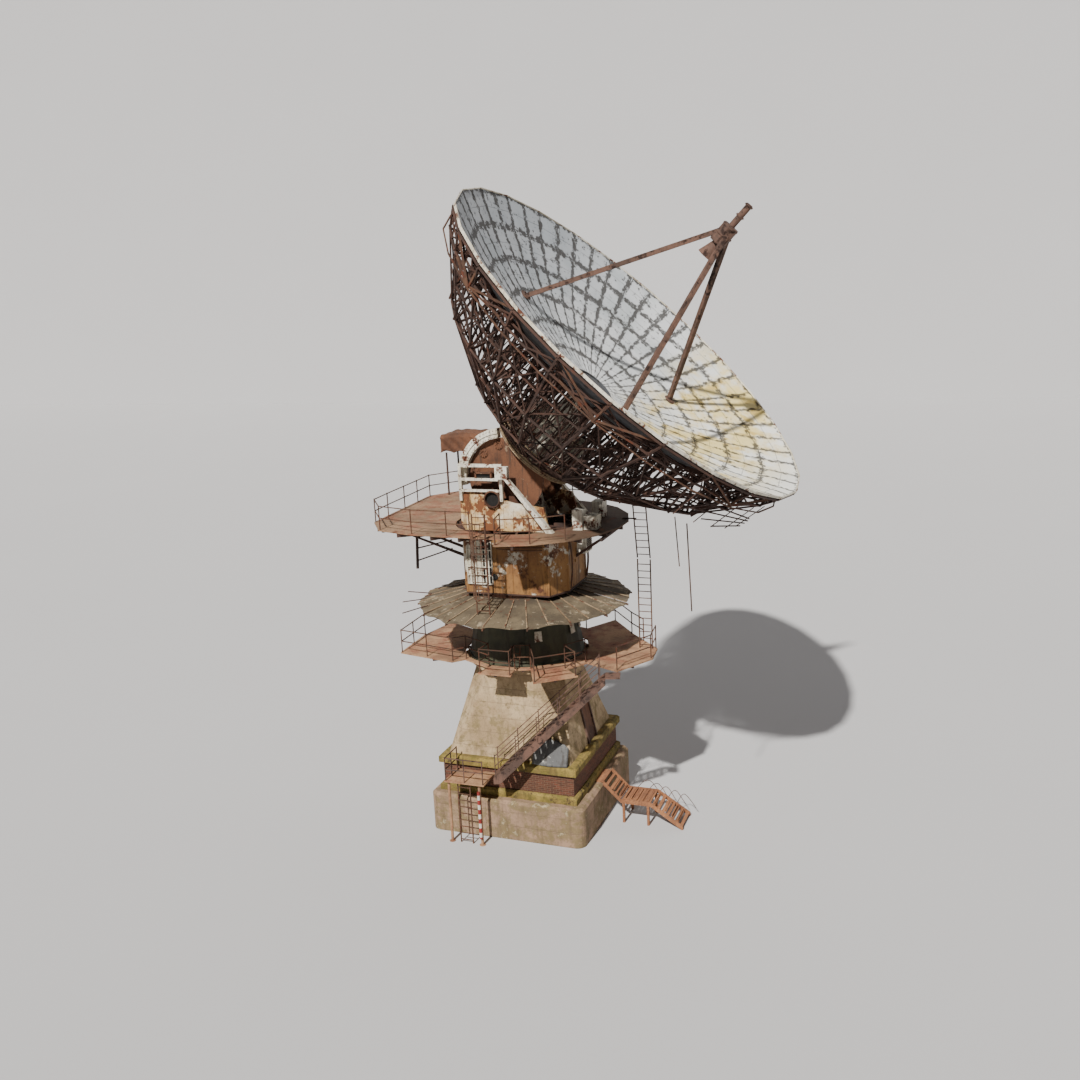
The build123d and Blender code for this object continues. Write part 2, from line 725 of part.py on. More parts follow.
with BuildPart() as side_frame:
    for side in (-1, 1):
        skin = side * (casing_inner + casing_thickness + touch_gap)
        near, far = sorted((skin, skin + side * 130))
        # front upright, top bar and the stand of the drive box
        block((-1860, near, axis_level - 900), (-1740, far, axis_level + 620))
        block((-1740 + touch_gap, near, axis_level + 500), (-60 - touch_gap, far, axis_level + 620))
        block((-60, near, axis_level - 900), (60, far, axis_level + 620))
        # framed opening
        block((-1740 + touch_gap, near, axis_level - 60), (-60 - touch_gap, far, axis_level + 40))
        block((-1740 + touch_gap, near, axis_level - 520), (-60 - touch_gap, far, axis_level - 430))
save("side_frame", side_frame.part)

with BuildPart() as drive_braces:
    for side in (-1, 1):
        skin = side * (casing_inner + casing_thickness + 140)
        near, far = sorted((skin, skin + side * 260))
        box_low, box_high = axis_level + 60, axis_level + 560
        block((-120, near, box_low), (400, far, box_high))
        upright_plate([(250, box_low - touch_gap), (390, box_low - touch_gap),
                       (2250, upper_deck_top + touch_gap), (1960, upper_deck_top + touch_gap)],
                      near, far)
save("drive_braces", drive_braces.part)

with BuildPart() as equipment_cabinets:
    block((cabin_right + cabin_wall / 2 + touch_gap, 80, cabin_floor_level + 1350),
          (cabin_right + 430, 880, cabin_floor_level + 2150))
    deck = upper_deck_top
    block((2830, -1500, deck), (3250, -1000, deck + 820))
    block((3270, -1350, deck), (3800, -700, deck + 560))
    block((2860, 900, deck), (3350, 1500, deck + 700))
save("equipment_cabinets", equipment_cabinets.part)

# elevation drive: the pinion shaft runs along Y under the toothed sector
elevation_reach = elevation_gear_module * (elevation_gear_teeth + elevation_pinion_teeth) / 2
drive_x, drive_z = polar(elevation_reach, elevation_pinion_angle)
drive_z += axis_level
half_gear = elevation_gear_width / 2
with BuildPart() as elevation_motor:
    block((drive_x - 330, half_gear + 60, roof_top), (drive_x + 330, 480, drive_z + 260))
    with Locations(Location((drive_x, 480 + touch_gap + 150, drive_z), (90, 0, 0))):
        Cylinder(190, 300)
save("elevation_motor", elevation_motor.part)


def gear_plane(near):
    return Plane(origin=(0, near, axis_level), x_dir=(1, 0, 0), z_dir=(0, -1, 0))


tooth_pitch = 360 / elevation_gear_teeth
tooth_near_drive = round(elevation_pinion_angle / tooth_pitch) * tooth_pitch
sector_first = round(203 / tooth_pitch)
sector_last = round(283 / tooth_pitch)
mesh_shift = (tooth_near_drive - elevation_pinion_angle) * elevation_gear_teeth / elevation_pinion_teeth
pinion_face = elevation_pinion_angle + 180 - mesh_shift + 180 / elevation_pinion_teeth
with BuildPart() as elevation_pinion:
    with BuildSketch(gear_plane(half_gear)) as teeth:
        Polygon(*involute_gear(elevation_pinion_teeth, elevation_gear_module,
                               centre=(drive_x, drive_z - axis_level), turn=pinion_face), align=None)
    extrude(teeth.sketch, amount=elevation_gear_width)
    with Locations(Location((drive_x, (half_gear + half_gear + 60 - touch_gap) / 2, drive_z), (90, 0, 0))):
        Cylinder(90, 60 - touch_gap)
save("elevation_pinion", elevation_pinion.part)

# ---------------------------------------------------------------- elevation head, tilting side
with BuildPart() as trunnion_shaft:
    with Locations(Location((0, 0, axis_level), (90, 0, 0))):
        Cylinder(trunnion_radius, 2 * (cheek_inner - touch_gap))
save("trunnion_shaft", trunnion_shaft.part)

with BuildPart() as elevation_gear:
    with BuildSketch(gear_plane(half_gear)) as sector:
        sector_points = involute_gear(elevation_gear_teeth, elevation_gear_module,
                                      first=sector_first, last=sector_last)
        Polygon((0, 0), *sector_points, align=None)
        Circle(trunnion_radius + 160)
        Circle(trunnion_radius + touch_gap, mode=Mode.SUBTRACT)
    extrude(sector.sketch, amount=elevation_gear_width)
save("elevation_gear", elevation_gear.part)

# cheeks: a disc on the shaft's end that widens into a foot under the hub ring
with BuildPart() as tilt_cheeks:
    for side in (-1, 1):
        near, far = sorted((side * cheek_inner, side * (cheek_inner + cheek_thickness)))
        with BuildSketch(gear_plane(near)) as cheek:
            Circle(cheek_radius)
            with Locations(Location((0, 0, 0), (0, 0, dish_elevation))):
                with Locations((hub_ring_height / 2, 0)):
                    Rectangle(hub_ring_height - 2 * touch_gap, 2 * 1180)
            with Locations(Location((0, 0, 0), (0, 0, dish_elevation))):
                with Locations((hub_ring_height + 1000, 0)):
                    Rectangle(2000, 5000, mode=Mode.SUBTRACT)
        extrude(cheek.sketch, amount=near - far)
save("tilt_cheeks", tilt_cheeks.part)

with BuildPart() as rim_arches:
    for side in (-1, 1):
        near, far = sorted((side * cheek_inner, side * (cheek_inner + arch_width)))
        steps = 8
        arch_step = (arch_end - arch_start) / steps
        for k in range(steps):
            first = arch_start + k * arch_step + 0.006
            last = first + arch_step - 0.012
            corners = [polar(r, a) for r, a in ((arch_inner_radius, first), (arch_outer_radius, first),
                                                (arch_outer_radius, last), (arch_inner_radius, last))]
            upright_plate([(x, z + axis_level) for x, z in corners], near, far)
save("rim_arches", rim_arches.part)

# ---------------------------------------------------------------- dish, built on its own axis
with BuildPart() as one_hub_piece:
    wedge([(hub_radius - hub_ring_width, hub_ring_height), (hub_radius, hub_ring_height),
           (hub_radius, hub_ring_height + hub_ring_depth),
           (hub_radius - hub_ring_width, hub_ring_height + hub_ring_depth)],
          0, 360 / rib_count, 0.2, 0.2)
with BuildPart(dish_frame) as hub_ring:
    with PolarLocations(0, rib_count):
        add(one_hub_piece.part)
save("hub_ring", hub_ring.part)


def dish_level(radius):
    """Height of the reflector's back along the dish axis."""
    return dish_vertex_height + radius ** 2 / (4 * focal_length) - panel_thickness


back_nodes = [(hub_radius - hub_ring_width / 2, hub_ring_height + hub_ring_depth + rib_chord_depth / 2)]
back_nodes += rib_back_nodes[1:]
rim_node = (dish_radius - 60, dish_level(dish_radius - 60) - rib_chord_depth)


def chord_piece(a, b, depth_a, depth_b):
    """Upright quadrilateral between two nodes, measured down from them."""
    return [(a[0], a[1] - depth_a), (b[0], b[1] - depth_b), b, a]


half_rib = rib_thickness / 2
with BuildPart() as one_rib_chord:
    fronts = [(r, dish_level(r)) for r in panel_ring_radii]
    fronts[0] = (back_nodes[0][0] - 300, dish_level(back_nodes[0][0] - 300))
    for a, b in zip(fronts, fronts[1:]):
        a = (a[0] + 0.2, a[1])
        b = (b[0] - 0.2, b[1])
        wedge(chord_piece(a, b, rib_chord_depth, rib_chord_depth), 0, 0, -half_rib, -half_rib)
    backs = [(r, z + rib_chord_depth / 2) for r, z in back_nodes]
    backs.append((rim_node[0], rim_node[1] - touch_gap))
    for a, b in zip(backs, backs[1:]):
        a = (a[0] + 0.2, a[1])
        b = (b[0] - 0.2, b[1])
        depth_b = rib_chord_depth if b[0] < rim_node[0] - 1 else 70
        wedge(chord_piece(a, b, rib_chord_depth, depth_b), 0, 0, -half_rib, -half_rib)

strut_pairs = [(back_nodes[0], 1600), (back_nodes[0], 2700), (back_nodes[1], 3000),
               (back_nodes[1], 4100), (back_nodes[1], 5250), (back_nodes[2], 5500),
               (back_nodes[2], 6600), (back_nodes[2], 7350), (back_nodes[3], 7650),
               (back_nodes[3], 8300)]
foot_shift = {1600: 0, 2700: 110, 3000: -110, 4100: 0, 5250: 110, 5500: -110, 6600: 0, 7350: 110,
              7650: -90, 8300: 40}
with BuildPart() as one_rib_strut:
    for (radius, level), top_radius in strut_pairs:
        base = (radius + foot_shift[top_radius], level)
        head = (top_radius, dish_level(top_radius) - rib_chord_depth / 2)
        length = hypot(head[0] - base[0], head[1] - base[1])
        across = ((head[1] - base[1]) / length * rib_strut_depth / 2,
                  -(head[0] - base[0]) / length * rib_strut_depth / 2)
        wedge([(base[0] - across[0], base[1] - across[1]), (base[0] + across[0], base[1] + across[1]),
               (head[0] + across[0], head[1] + across[1]), (head[0] - across[0], head[1] - across[1])],
              0, 0, -half_rib * 0.7, -half_rib * 0.7)
    add(one_rib_chord.part, mode=Mode.SUBTRACT)

with BuildPart(dish_frame) as rib_chords:
    with PolarLocations(0, rib_count):
        add(one_rib_chord.part)
save("rib_chords", rib_chords.part)

with BuildPart(dish_frame) as rib_struts:
    with PolarLocations(0, rib_count):
        add(one_rib_strut.part)
save("rib_struts", rib_struts.part)

with BuildPart() as one_hoop_set:
    size = 70
    for radius, level in back_nodes[1:]:
        wedge([(radius - size / 2, level - size / 2), (radius + size / 2, level - size / 2),
               (radius + size / 2, level + size / 2), (radius - size / 2, level + size / 2)],
              0, 360 / rib_count, half_rib + touch_gap, half_rib + touch_gap)
    for radius in panel_ring_radii[2:]:
        r = radius - 60
        level = dish_level(r) - 10
        wedge([(r - size / 2, level - rib_chord_depth), (r + size / 2, level - rib_chord_depth),
               (r + size / 2, level - 30), (r - size / 2, level - 30)],
              0, 360 / rib_count, half_rib + touch_gap, half_rib + touch_gap)
with BuildPart(dish_frame) as hoop_bars:
    with PolarLocations(0, rib_count):
        add(one_hoop_set.part)
save("hoop_bars", hoop_bars.part)

with BuildPart() as one_panel_set:
    for inner, outer in zip(panel_ring_radii, panel_ring_radii[1:]):
        back = [(r, dish_level(r) + panel_lift) for r in (inner + seam, outer - seam)]
        front = [(r, level + panel_thickness) for r, level in reversed(back)]
        wedge(back + front, 0, 360 / rib_count, seam, seam)
with BuildPart(dish_frame) as reflector_panels:
    with PolarLocations(0, rib_count):
        add(one_panel_set.part)
save("reflector_panels", reflector_panels.part)

with BuildPart() as hub_core:
    base = hub_ring_height + hub_ring_depth
    core_height = dish_level(0) - base - 300
    with BuildSketch(Plane.XY.offset(base + 70 + touch_gap)):
        RegularPolygon(620, 12)
    extrude(amount=core_height)
    for angle in range(0, 360, 60):
        with Locations(Location((0, 0, base), (0, 0, angle))):
            with Locations((1150, 0, 0)):
                Box(1080, 120, 70, align=(Align.CENTER, Align.CENTER, Align.MIN))
            with Locations((1290, 0, 70 + touch_gap)):
                Box(420, 620, 1250 if angle % 120 else 850,
                    align=(Align.CENTER, Align.CENTER, Align.MIN))
    with BuildSketch(Plane.XY.offset(base)):
        RegularPolygon(620, 12)
    extrude(amount=70)
with BuildPart(dish_frame) as hub_cabinets:
    add(hub_core.part)
save("hub_cabinets", hub_cabinets.part)

# ---------------------------------------------------------------- feed tripod
feed_box_base = feed_leg_apex - feed_box_height
with BuildPart() as feed_head:
    with BuildSketch(Plane.XY.offset(feed_box_base)):
        RegularPolygon(feed_box_apothem, 6, major_radius=False, rotation=0)
    extrude(amount=feed_box_height)
with BuildPart() as leg_seat:
    # the reflector's front face on both sides of the leg's rib, carried down behind it
    inner, outer = panel_ring_radii[2:4]
    face = [(r, dish_level(r) + panel_thickness + touch_gap + panel_lift) for r in (inner, outer)]
    behind = [(r, level - 4 * panel_thickness) for r, level in reversed(face)]
    step = 360 / rib_count
    for start in (90 - step, 90):
        wedge(face + behind, start, start + step)
with BuildPart() as one_leg:
    bar((0, feed_leg_foot_radius, dish_level(feed_leg_foot_radius) + panel_thickness / 2),
        (0, 0, feed_leg_apex), feed_leg_size, feed_leg_size, 0, 150)
    add(leg_seat.part, mode=Mode.SUBTRACT)
    add(feed_head.part, mode=Mode.SUBTRACT)
leg_solid = one_leg.part.solids().sort_by(SortBy.VOLUME)[-1]
with BuildPart(dish_frame) as feed_legs:
    with PolarLocations(0, 3):
        add(leg_solid)
save("feed_legs", feed_legs.part)

with BuildPart(dish_frame) as feed_box:
    add(feed_head.part)
    with Locations((0, 0, feed_leg_apex + touch_gap)):
        Cylinder(feed_tube_radius, feed_tube_length, align=(Align.CENTER, Align.CENTER, Align.MIN))
save("feed_box", feed_box.part)

with BuildPart(dish_frame) as feed_horn:
    with Locations((0, 0, feed_box_base - touch_gap - feed_horn_length)):
        Cone(feed_horn_mouth_radius, feed_horn_throat_radius, feed_horn_length,
             align=(Align.CENTER, Align.CENTER, Align.MIN))
save("feed_horn", feed_horn.part)

# ---------------------------------------------------------------- stair to the lower deck
landing_x = (-2250, -450)
landing_y = (-4420, -cornice_size / 2 - touch_gap)
landing_post_radius = 60
with BuildPart() as stair_landing:
    block((landing_x[0], landing_y[0], stair_landing_level - 50),
          (landing_x[1], landing_y[1], stair_landing_level))
    for x in (landing_x[0] + 120, landing_x[1] - 300):
        post(x, landing_y[0] + 200, 0, 25, 130)
        post(x, landing_y[0] + 200, 25 + touch_gap, stair_landing_level - 50 - touch_gap,
             landing_post_radius)
save("stair_landing", stair_landing.part)

stair_run = hypot(stair_end[0] - stair_start[0], stair_end[1] - stair_start[1])
stair_turn = degrees(atan2(stair_end[1] - stair_start[1], stair_end[0] - stair_start[0]))
deck_bottom = lower_deck_top - deck_thickness
stair_rise = deck_bottom - stair_landing_level
stair_frame = Plane(origin=(*stair_start, 0), x_dir=(*polar(1, stair_turn), 0), z_dir=(0, 0, 1))
going = stair_run / stair_steps
step_rise = stair_rise / stair_steps
with BuildPart() as stair_side:
    top = stair_landing_level + step_rise
    upright_plate([(going, stair_landing_level), (going + 260, stair_landing_level),
                   (stair_run, deck_bottom - stringer_depth - 60), (stair_run, deck_bottom - 40),
                   (stair_run - 60, deck_bottom - 40), (going, stair_landing_level + stringer_depth)],
                  0, stringer_thickness)
with BuildPart(stair_frame) as stair_stringers:
    for y in (-stair_width / 2, stair_width / 2 - stringer_thickness):
        with Locations((0, y, 0)):
            add(stair_side.part)
save("stair_stringers", stair_stringers.part)

with BuildPart(stair_frame) as stair_treads:
    half = stair_width / 2 - stringer_thickness - touch_gap
    for step in range(1, stair_steps + 1):
        x = going * step
        z = stair_landing_level + step_rise * step
        extra = 360 if step == stair_steps else 0
        block((x - 10, -half, z - tread_thickness), (x + going * 0.92 + extra, half, z))
save("stair_treads", stair_treads.part)

with BuildPart() as stair_rail_pair:
    marks = [1.4, 5, 8.6, 12.2, 15.8, 19]
    for y in (-stair_width / 2 - 27, stair_width / 2 + 27):
        feet = []
        for mark in marks:
            x = going * mark
            z = stair_landing_level + step_rise * mark
            post(x, y, z - 60, z + rail_height, 20)
            feet.append((x, y, z))
        gap = 20 + 16
        for a, b in zip(feet, feet[1:]):
            for lift in (rail_height * 0.5, rail_height * 0.93):
                bar((a[0], a[1], a[2] + lift), (b[0], b[1], b[2] + lift), 32, 32, gap, gap)
with BuildPart(stair_frame) as stair_rails_in_place:
    add(stair_rail_pair.part)

with BuildPart() as stair_railing:
    add(stair_rails_in_place.part)
    x0, x1 = landing_x[0] + 60, landing_x[1] - 60
    y0, y1 = landing_y[0] + 60, landing_y[1] - 90
    railing([(x0, y1), (x0, (y0 + y1) / 2), (x0, y0), ((x0 + x1) / 2, y0), (x1, y0)],
            stair_landing_level, closed=False)
save("stair_railing", stair_railing.part)

# ---------------------------------------------------------------- wooden ramp
ramp_start = foundation_size / 2 + touch_gap
ramp_knee = (4250, 1060)
ramp_shelf = (5550, 1060)
ramp_foot = 6950
with BuildPart() as ramp_beams:
    for near in (ramp_near_side, ramp_near_side + ramp_width - ramp_beam_width):
        far = near + ramp_beam_width
        upright_plate([(ramp_start, foundation_height - 60), (ramp_start, foundation_height + 110),
                       (ramp_knee[0] - 0.2, ramp_knee[1]),
                       (ramp_knee[0] - 0.2, ramp_knee[1] - ramp_beam_depth)], near, far)
        block((ramp_knee[0] + 0.2, near, ramp_knee[1] - ramp_beam_depth),
              (ramp_shelf[0] - 0.2, far, ramp_knee[1]))
        upright_plate([(ramp_shelf[0] + 0.2, ramp_shelf[1]), (ramp_foot, ramp_beam_depth),
                       (ramp_foot, 0), (ramp_foot - 60, 0),
                       (ramp_shelf[0] + 0.2, ramp_shelf[1] - ramp_beam_depth)], near, far)
save("ramp_beams", ramp_beams.part)

with BuildPart() as ramp_boards:
    low = ramp_near_side + ramp_beam_width + touch_gap
    high = ramp_near_side + ramp_width - ramp_beam_width - touch_gap
    block((cornice_size / 2 + touch_gap, low, foundation_height),
          (ramp_start, high, foundation_height + ramp_board))
    for count, first, last in ((4, (ramp_start, foundation_height), ramp_knee),
                               (7, (ramp_shelf[0], ramp_shelf[1]), (ramp_foot, ramp_beam_depth))):
        for k in range(count):
            share = (k + 0.5) / count
            x = first[0] + (last[0] - first[0]) * share
            z = first[1] + (last[1] - first[1]) * share - 70
            block((x - 70, low, z - ramp_board), (x + 70, high, z))
    for k in range(8):
        x = ramp_knee[0] + 10 + k * (ramp_shelf[0] - ramp_knee[0] - 20) / 8
        block((x, low, ramp_knee[1] - 70), (x + 150, high, ramp_knee[1] - 70 + ramp_board))
save("ramp_boards", ramp_boards.part)

with BuildPart() as ramp_trestles:
    for x in (ramp_knee[0] + 60, ramp_shelf[0] - 160):
        for y in (ramp_near_side, ramp_near_side + ramp_width - 100):
            block((x, y, 0), (x + 100, y + 100, ramp_knee[1] - ramp_beam_depth))
save("ramp_trestles", ramp_trestles.part)
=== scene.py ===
from math import cos, pi, radians, sin

import bpy
import numpy as np
from bpy.props import FloatProperty, IntProperty, PointerProperty
from mathutils import Matrix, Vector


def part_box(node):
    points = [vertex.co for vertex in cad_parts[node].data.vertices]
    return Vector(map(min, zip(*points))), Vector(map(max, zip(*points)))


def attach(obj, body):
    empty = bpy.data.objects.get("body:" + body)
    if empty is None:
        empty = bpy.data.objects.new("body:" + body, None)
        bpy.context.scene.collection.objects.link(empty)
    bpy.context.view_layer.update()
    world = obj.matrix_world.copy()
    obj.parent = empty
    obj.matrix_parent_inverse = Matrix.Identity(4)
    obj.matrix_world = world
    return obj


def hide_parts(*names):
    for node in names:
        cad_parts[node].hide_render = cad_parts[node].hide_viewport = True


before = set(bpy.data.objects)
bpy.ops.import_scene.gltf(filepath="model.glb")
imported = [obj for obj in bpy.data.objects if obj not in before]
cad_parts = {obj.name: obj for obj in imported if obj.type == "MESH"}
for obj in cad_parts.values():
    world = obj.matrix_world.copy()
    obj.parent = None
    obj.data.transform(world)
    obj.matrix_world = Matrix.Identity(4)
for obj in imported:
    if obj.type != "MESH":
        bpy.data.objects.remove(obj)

bl_info = {
    "name": "Tracking Dish Scene",
    "version": (1, 0, 0),
    "blender": (4, 5, 0),
    "location": "3D Viewport > Sidebar > Dish",
    "description": "Weathered looks and fittings for a steerable dish antenna on a concrete tower",
    "category": "Add Mesh",
}

# ------------------------------------------------------------------ sizes, in metres
ELEVATION = radians(46)
SECTORS = 24
SECTOR = 2 * pi / SECTORS
VERTEX_HEIGHT = 4.94
FOUR_FOCAL = 29.112
PANEL_RINGS = np.array([0.80, 2.12, 3.44, 4.76, 6.08, 7.40, 8.70])
RING_STEP = 1.32
BACK_NODES = [(1.75, 1.28), (4.10, 2.54), (6.60, 4.44), (8.30, 6.70)]
BACK_SHEET_DROP = 0.055
NODE_RISE = 0.04
FRONT_GAP = 0.16
FEED_FOOT = 4.5
SKIRT_SIDES = 16
SKIRT_INNER = 2.24
SKIRT_OUTER = 4.60
BARRED_PANEL = (-1.62, -0.52, 10.75, 12.55)
FRONT_AXES = np.array([[1, 0, 0], [0, 0, 1], [0, -1, 0]])
SEED = 11


def corners(node):
    """Lowest and highest corner of a CAD node as arrays."""
    low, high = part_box(node)
    return np.array(low), np.array(high)


AXIS = np.mean(corners("trunnion_shaft"), axis=0)
DISH_RADIUS = corners("reflector_panels")[1][1]
DISH_AXES = np.array([[0, 1, 0],
                      [-sin(ELEVATION), 0, cos(ELEVATION)],
                      [cos(ELEVATION), 0, sin(ELEVATION)]])


def from_dish(places):
    """Row-frame place of points given in the dish's own frame, whose third axis is the boresight."""
    return AXIS + np.asarray(places, float) @ DISH_AXES


def on_rib(rib, radius, height):
    """Point at a radius and height on a rib, which may be a fraction between two ribs."""
    return from_dish(around(radius, np.asarray(rib, float) * SECTOR, height))


def dish_height(radius):
    return VERTEX_HEIGHT + radius ** 2 / FOUR_FOCAL


# ------------------------------------------------------------------ meshes
class Shape:
    """Gathers the vertices and faces of several members into one piece."""

    def __init__(self):
        self.vertices = []
        self.faces = []
        self.count = 0

    def add(self, vertices, faces):
        vertices = np.asarray(vertices, float).reshape(-1, 3)
        self.vertices.append(vertices)
        self.faces += [np.asarray(part, int) + self.count for part in faces]
        self.count += len(vertices)
        return self

    def piece(self, name, finish, body, slot, replaced=(), smooth=False, thickness=0):
        mesh = bpy.data.meshes.new(name)
        rows = [row for part in self.faces for row in part.tolist()]
        mesh.from_pydata(np.concatenate(self.vertices).tolist(), [], rows)
        mesh.polygons.foreach_set("use_smooth", np.full(len(rows), smooth))
        mesh.materials.append(FINISHES[finish])
        mesh.update()
        made = bpy.data.objects.new(name, mesh)
        bpy.context.scene.collection.objects.link(made)
        if thickness:
            solid = made.modifiers.new("Thickness", "SOLIDIFY")
            solid.thickness = thickness
            solid.offset = 0
        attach(made, body)
        if replaced:
            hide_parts(*replaced)
        return made


def unit(vectors):
    return vectors / np.linalg.norm(vectors, axis=-1, keepdims=True)


def points(x, y, z):
    """Points from three coordinates, each one number or one number for every point."""
    return np.stack(np.broadcast_arrays(x, y, z), axis=-1).astype(float)


def clock(count):
    """Angles of places spread evenly around a circle."""
    return np.arange(count) * 2 * pi / count


def around(radius, turn, z=0.0):
    """Points at a radius and an angle about the third axis: (r cos t, r sin t, z)."""
    return points(radius * np.cos(turn), radius * np.sin(turn), z)


def rectangle(width, depth):
    w, d = width / 2, depth / 2
    return [(-w, -d), (w, -d), (w, d), (-w, d)]


def angle_iron(width, wall):
    return [(0, 0), (width, 0), (width, wall), (wall, wall), (wall, width), (0, width)]


def circle(radius, count=10):
    return around(radius, clock(count))[:, :2]


def prisms(starts, ends, outline, up=(0, 0, 1)):
    """Straight members: outline point (a, b) stands at start + a * side + b * rise, and so at the end."""
    starts = np.asarray(starts, float).reshape(-1, 3)
    ends = np.asarray(ends, float).reshape(-1, 3)
    outline = np.asarray(outline, float)
    along = unit(ends - starts)
    side = np.cross(along, up)
    upright = np.linalg.norm(side, axis=1) < 1e-3
    side[upright] = np.cross(along[upright], (0, 1, 0))
    side = unit(side)
    rise = np.cross(side, along)
    offsets = outline[None, :, :1] * side[:, None] + outline[None, :, 1:] * rise[:, None]
    rings = np.stack([starts[:, None] + offsets, ends[:, None] + offsets], axis=1)
    members, sides = len(starts), len(outline)
    first = (np.arange(members) * 2 * sides)[:, None]
    i = np.arange(sides)
    j = (i + 1) % sides
    walls = first[:, :, None] + np.stack([i, j, j + sides, i + sides], axis=1)[None]
    return rings.reshape(-1, 3), [walls.reshape(-1, 4), first + i[::-1], first + i + sides]


def skin(grid, closed=False):
    """Quads over a grid of points with two parameters; a closed grid joins its last column to its first."""
    grid = np.asarray(grid, float)
    rows, columns = grid.shape[:2]
    i, j = np.meshgrid(np.arange(rows - 1), np.arange(columns if closed else columns - 1), indexing="ij")
    k = (j + 1) % columns
    quads = np.stack([i * columns + j, i * columns + k, (i + 1) * columns + k, (i + 1) * columns + j], -1)
    return grid.reshape(-1, 3), [quads.reshape(-1, 4)]


def ring(centre, axes, profile, count=48, start=0.0, sweep=2 * pi):
    """Profile of (radius, height) points turned about an axis: centre + r cos t * x + r sin t * y + h * z."""
    profile = np.asarray(list(profile) + [profile[0]], float)
    turn = start + np.linspace(0, sweep, count + 1)
    sections = around(profile[:, :1], turn, profile[:, 1:])
    return skin(np.asarray(centre) + sections @ np.asarray(axes, float))


def tube(path, radius, sides=8):
    """Round rod along a smooth path: each path point carries a circle square to the path's direction."""
    path = np.asarray(path, float)
    along = unit(np.gradient(path, axis=0))
    helper = np.array([0, 0, 1.0]) if abs(along[:, 2]).max() < 0.9 else np.array([0.31, 0.95, 0.0])
    side = unit(np.cross(along, helper))
    rise = np.cross(side, along)
    outline = circle(radius, sides)
    rings = path[:, None] + outline[:, :1] * side[:, None] + outline[:, 1:] * rise[:, None]
    return skin(rings, closed=True)


def panel_box(low, high, axes=np.eye(3), origin=(0, 0, 0), edge=0.02):
    """Box with cut edges: an eight-cornered outline, drawn in at both ends, is carried along an axis."""
    low, high = np.asarray(low, float), np.asarray(high, float)
    half = (high - low) / 2
    corner = np.repeat([(1, 1), (-1, 1), (-1, -1), (1, -1)], 2, axis=0)
    inward = np.array([(0, -1), (-1, 0), (1, 0), (0, -1), (0, 1), (1, 0), (-1, 0), (0, 1)])
    outline = corner * half[:2] + edge * inward
    drawn_in = outline * (1 - edge / half[:2])
    sections = [(-half[2], drawn_in), (edge - half[2], outline), (half[2] - edge, outline),
                (half[2], drawn_in)]
    grid = np.stack([points(*flat.T, level) for level, flat in sections]) + (low + high) / 2
    vertices, faces = skin(np.asarray(origin) + grid @ np.asarray(axes, float), closed=True)
    sides = len(outline)
    return vertices, faces + [np.arange(sides)[None, ::-1], (np.arange(sides) + 3 * sides)[None]]


# ------------------------------------------------------------------ shaders
def tint(red, green, blue):
    """Linear colour of display values from 0 to 1."""
    return tuple(c / 12.92 if c <= 0.04045 else ((c + 0.055) / 1.055) ** 2.4 for c in (red, green, blue))


class Value:
    """A shader output that does arithmetic by adding Math nodes."""

    def __init__(self, shader, socket):
        self.shader = shader
        self.socket = socket

    def __add__(self, other):
        return self.shader.maths("ADD", self, other)

    def __sub__(self, other):
        return self.shader.maths("SUBTRACT", self, other)

    def __rsub__(self, other):
        return self.shader.maths("SUBTRACT", other, self)

    def __mul__(self, other):
        return self.shader.maths("MULTIPLY", self, other)

    def __truediv__(self, other):
        return self.shader.maths("DIVIDE", self, other)

    def __rtruediv__(self, other):
        return self.shader.maths("DIVIDE", other, self)

    __radd__ = __add__
    __rmul__ = __mul__


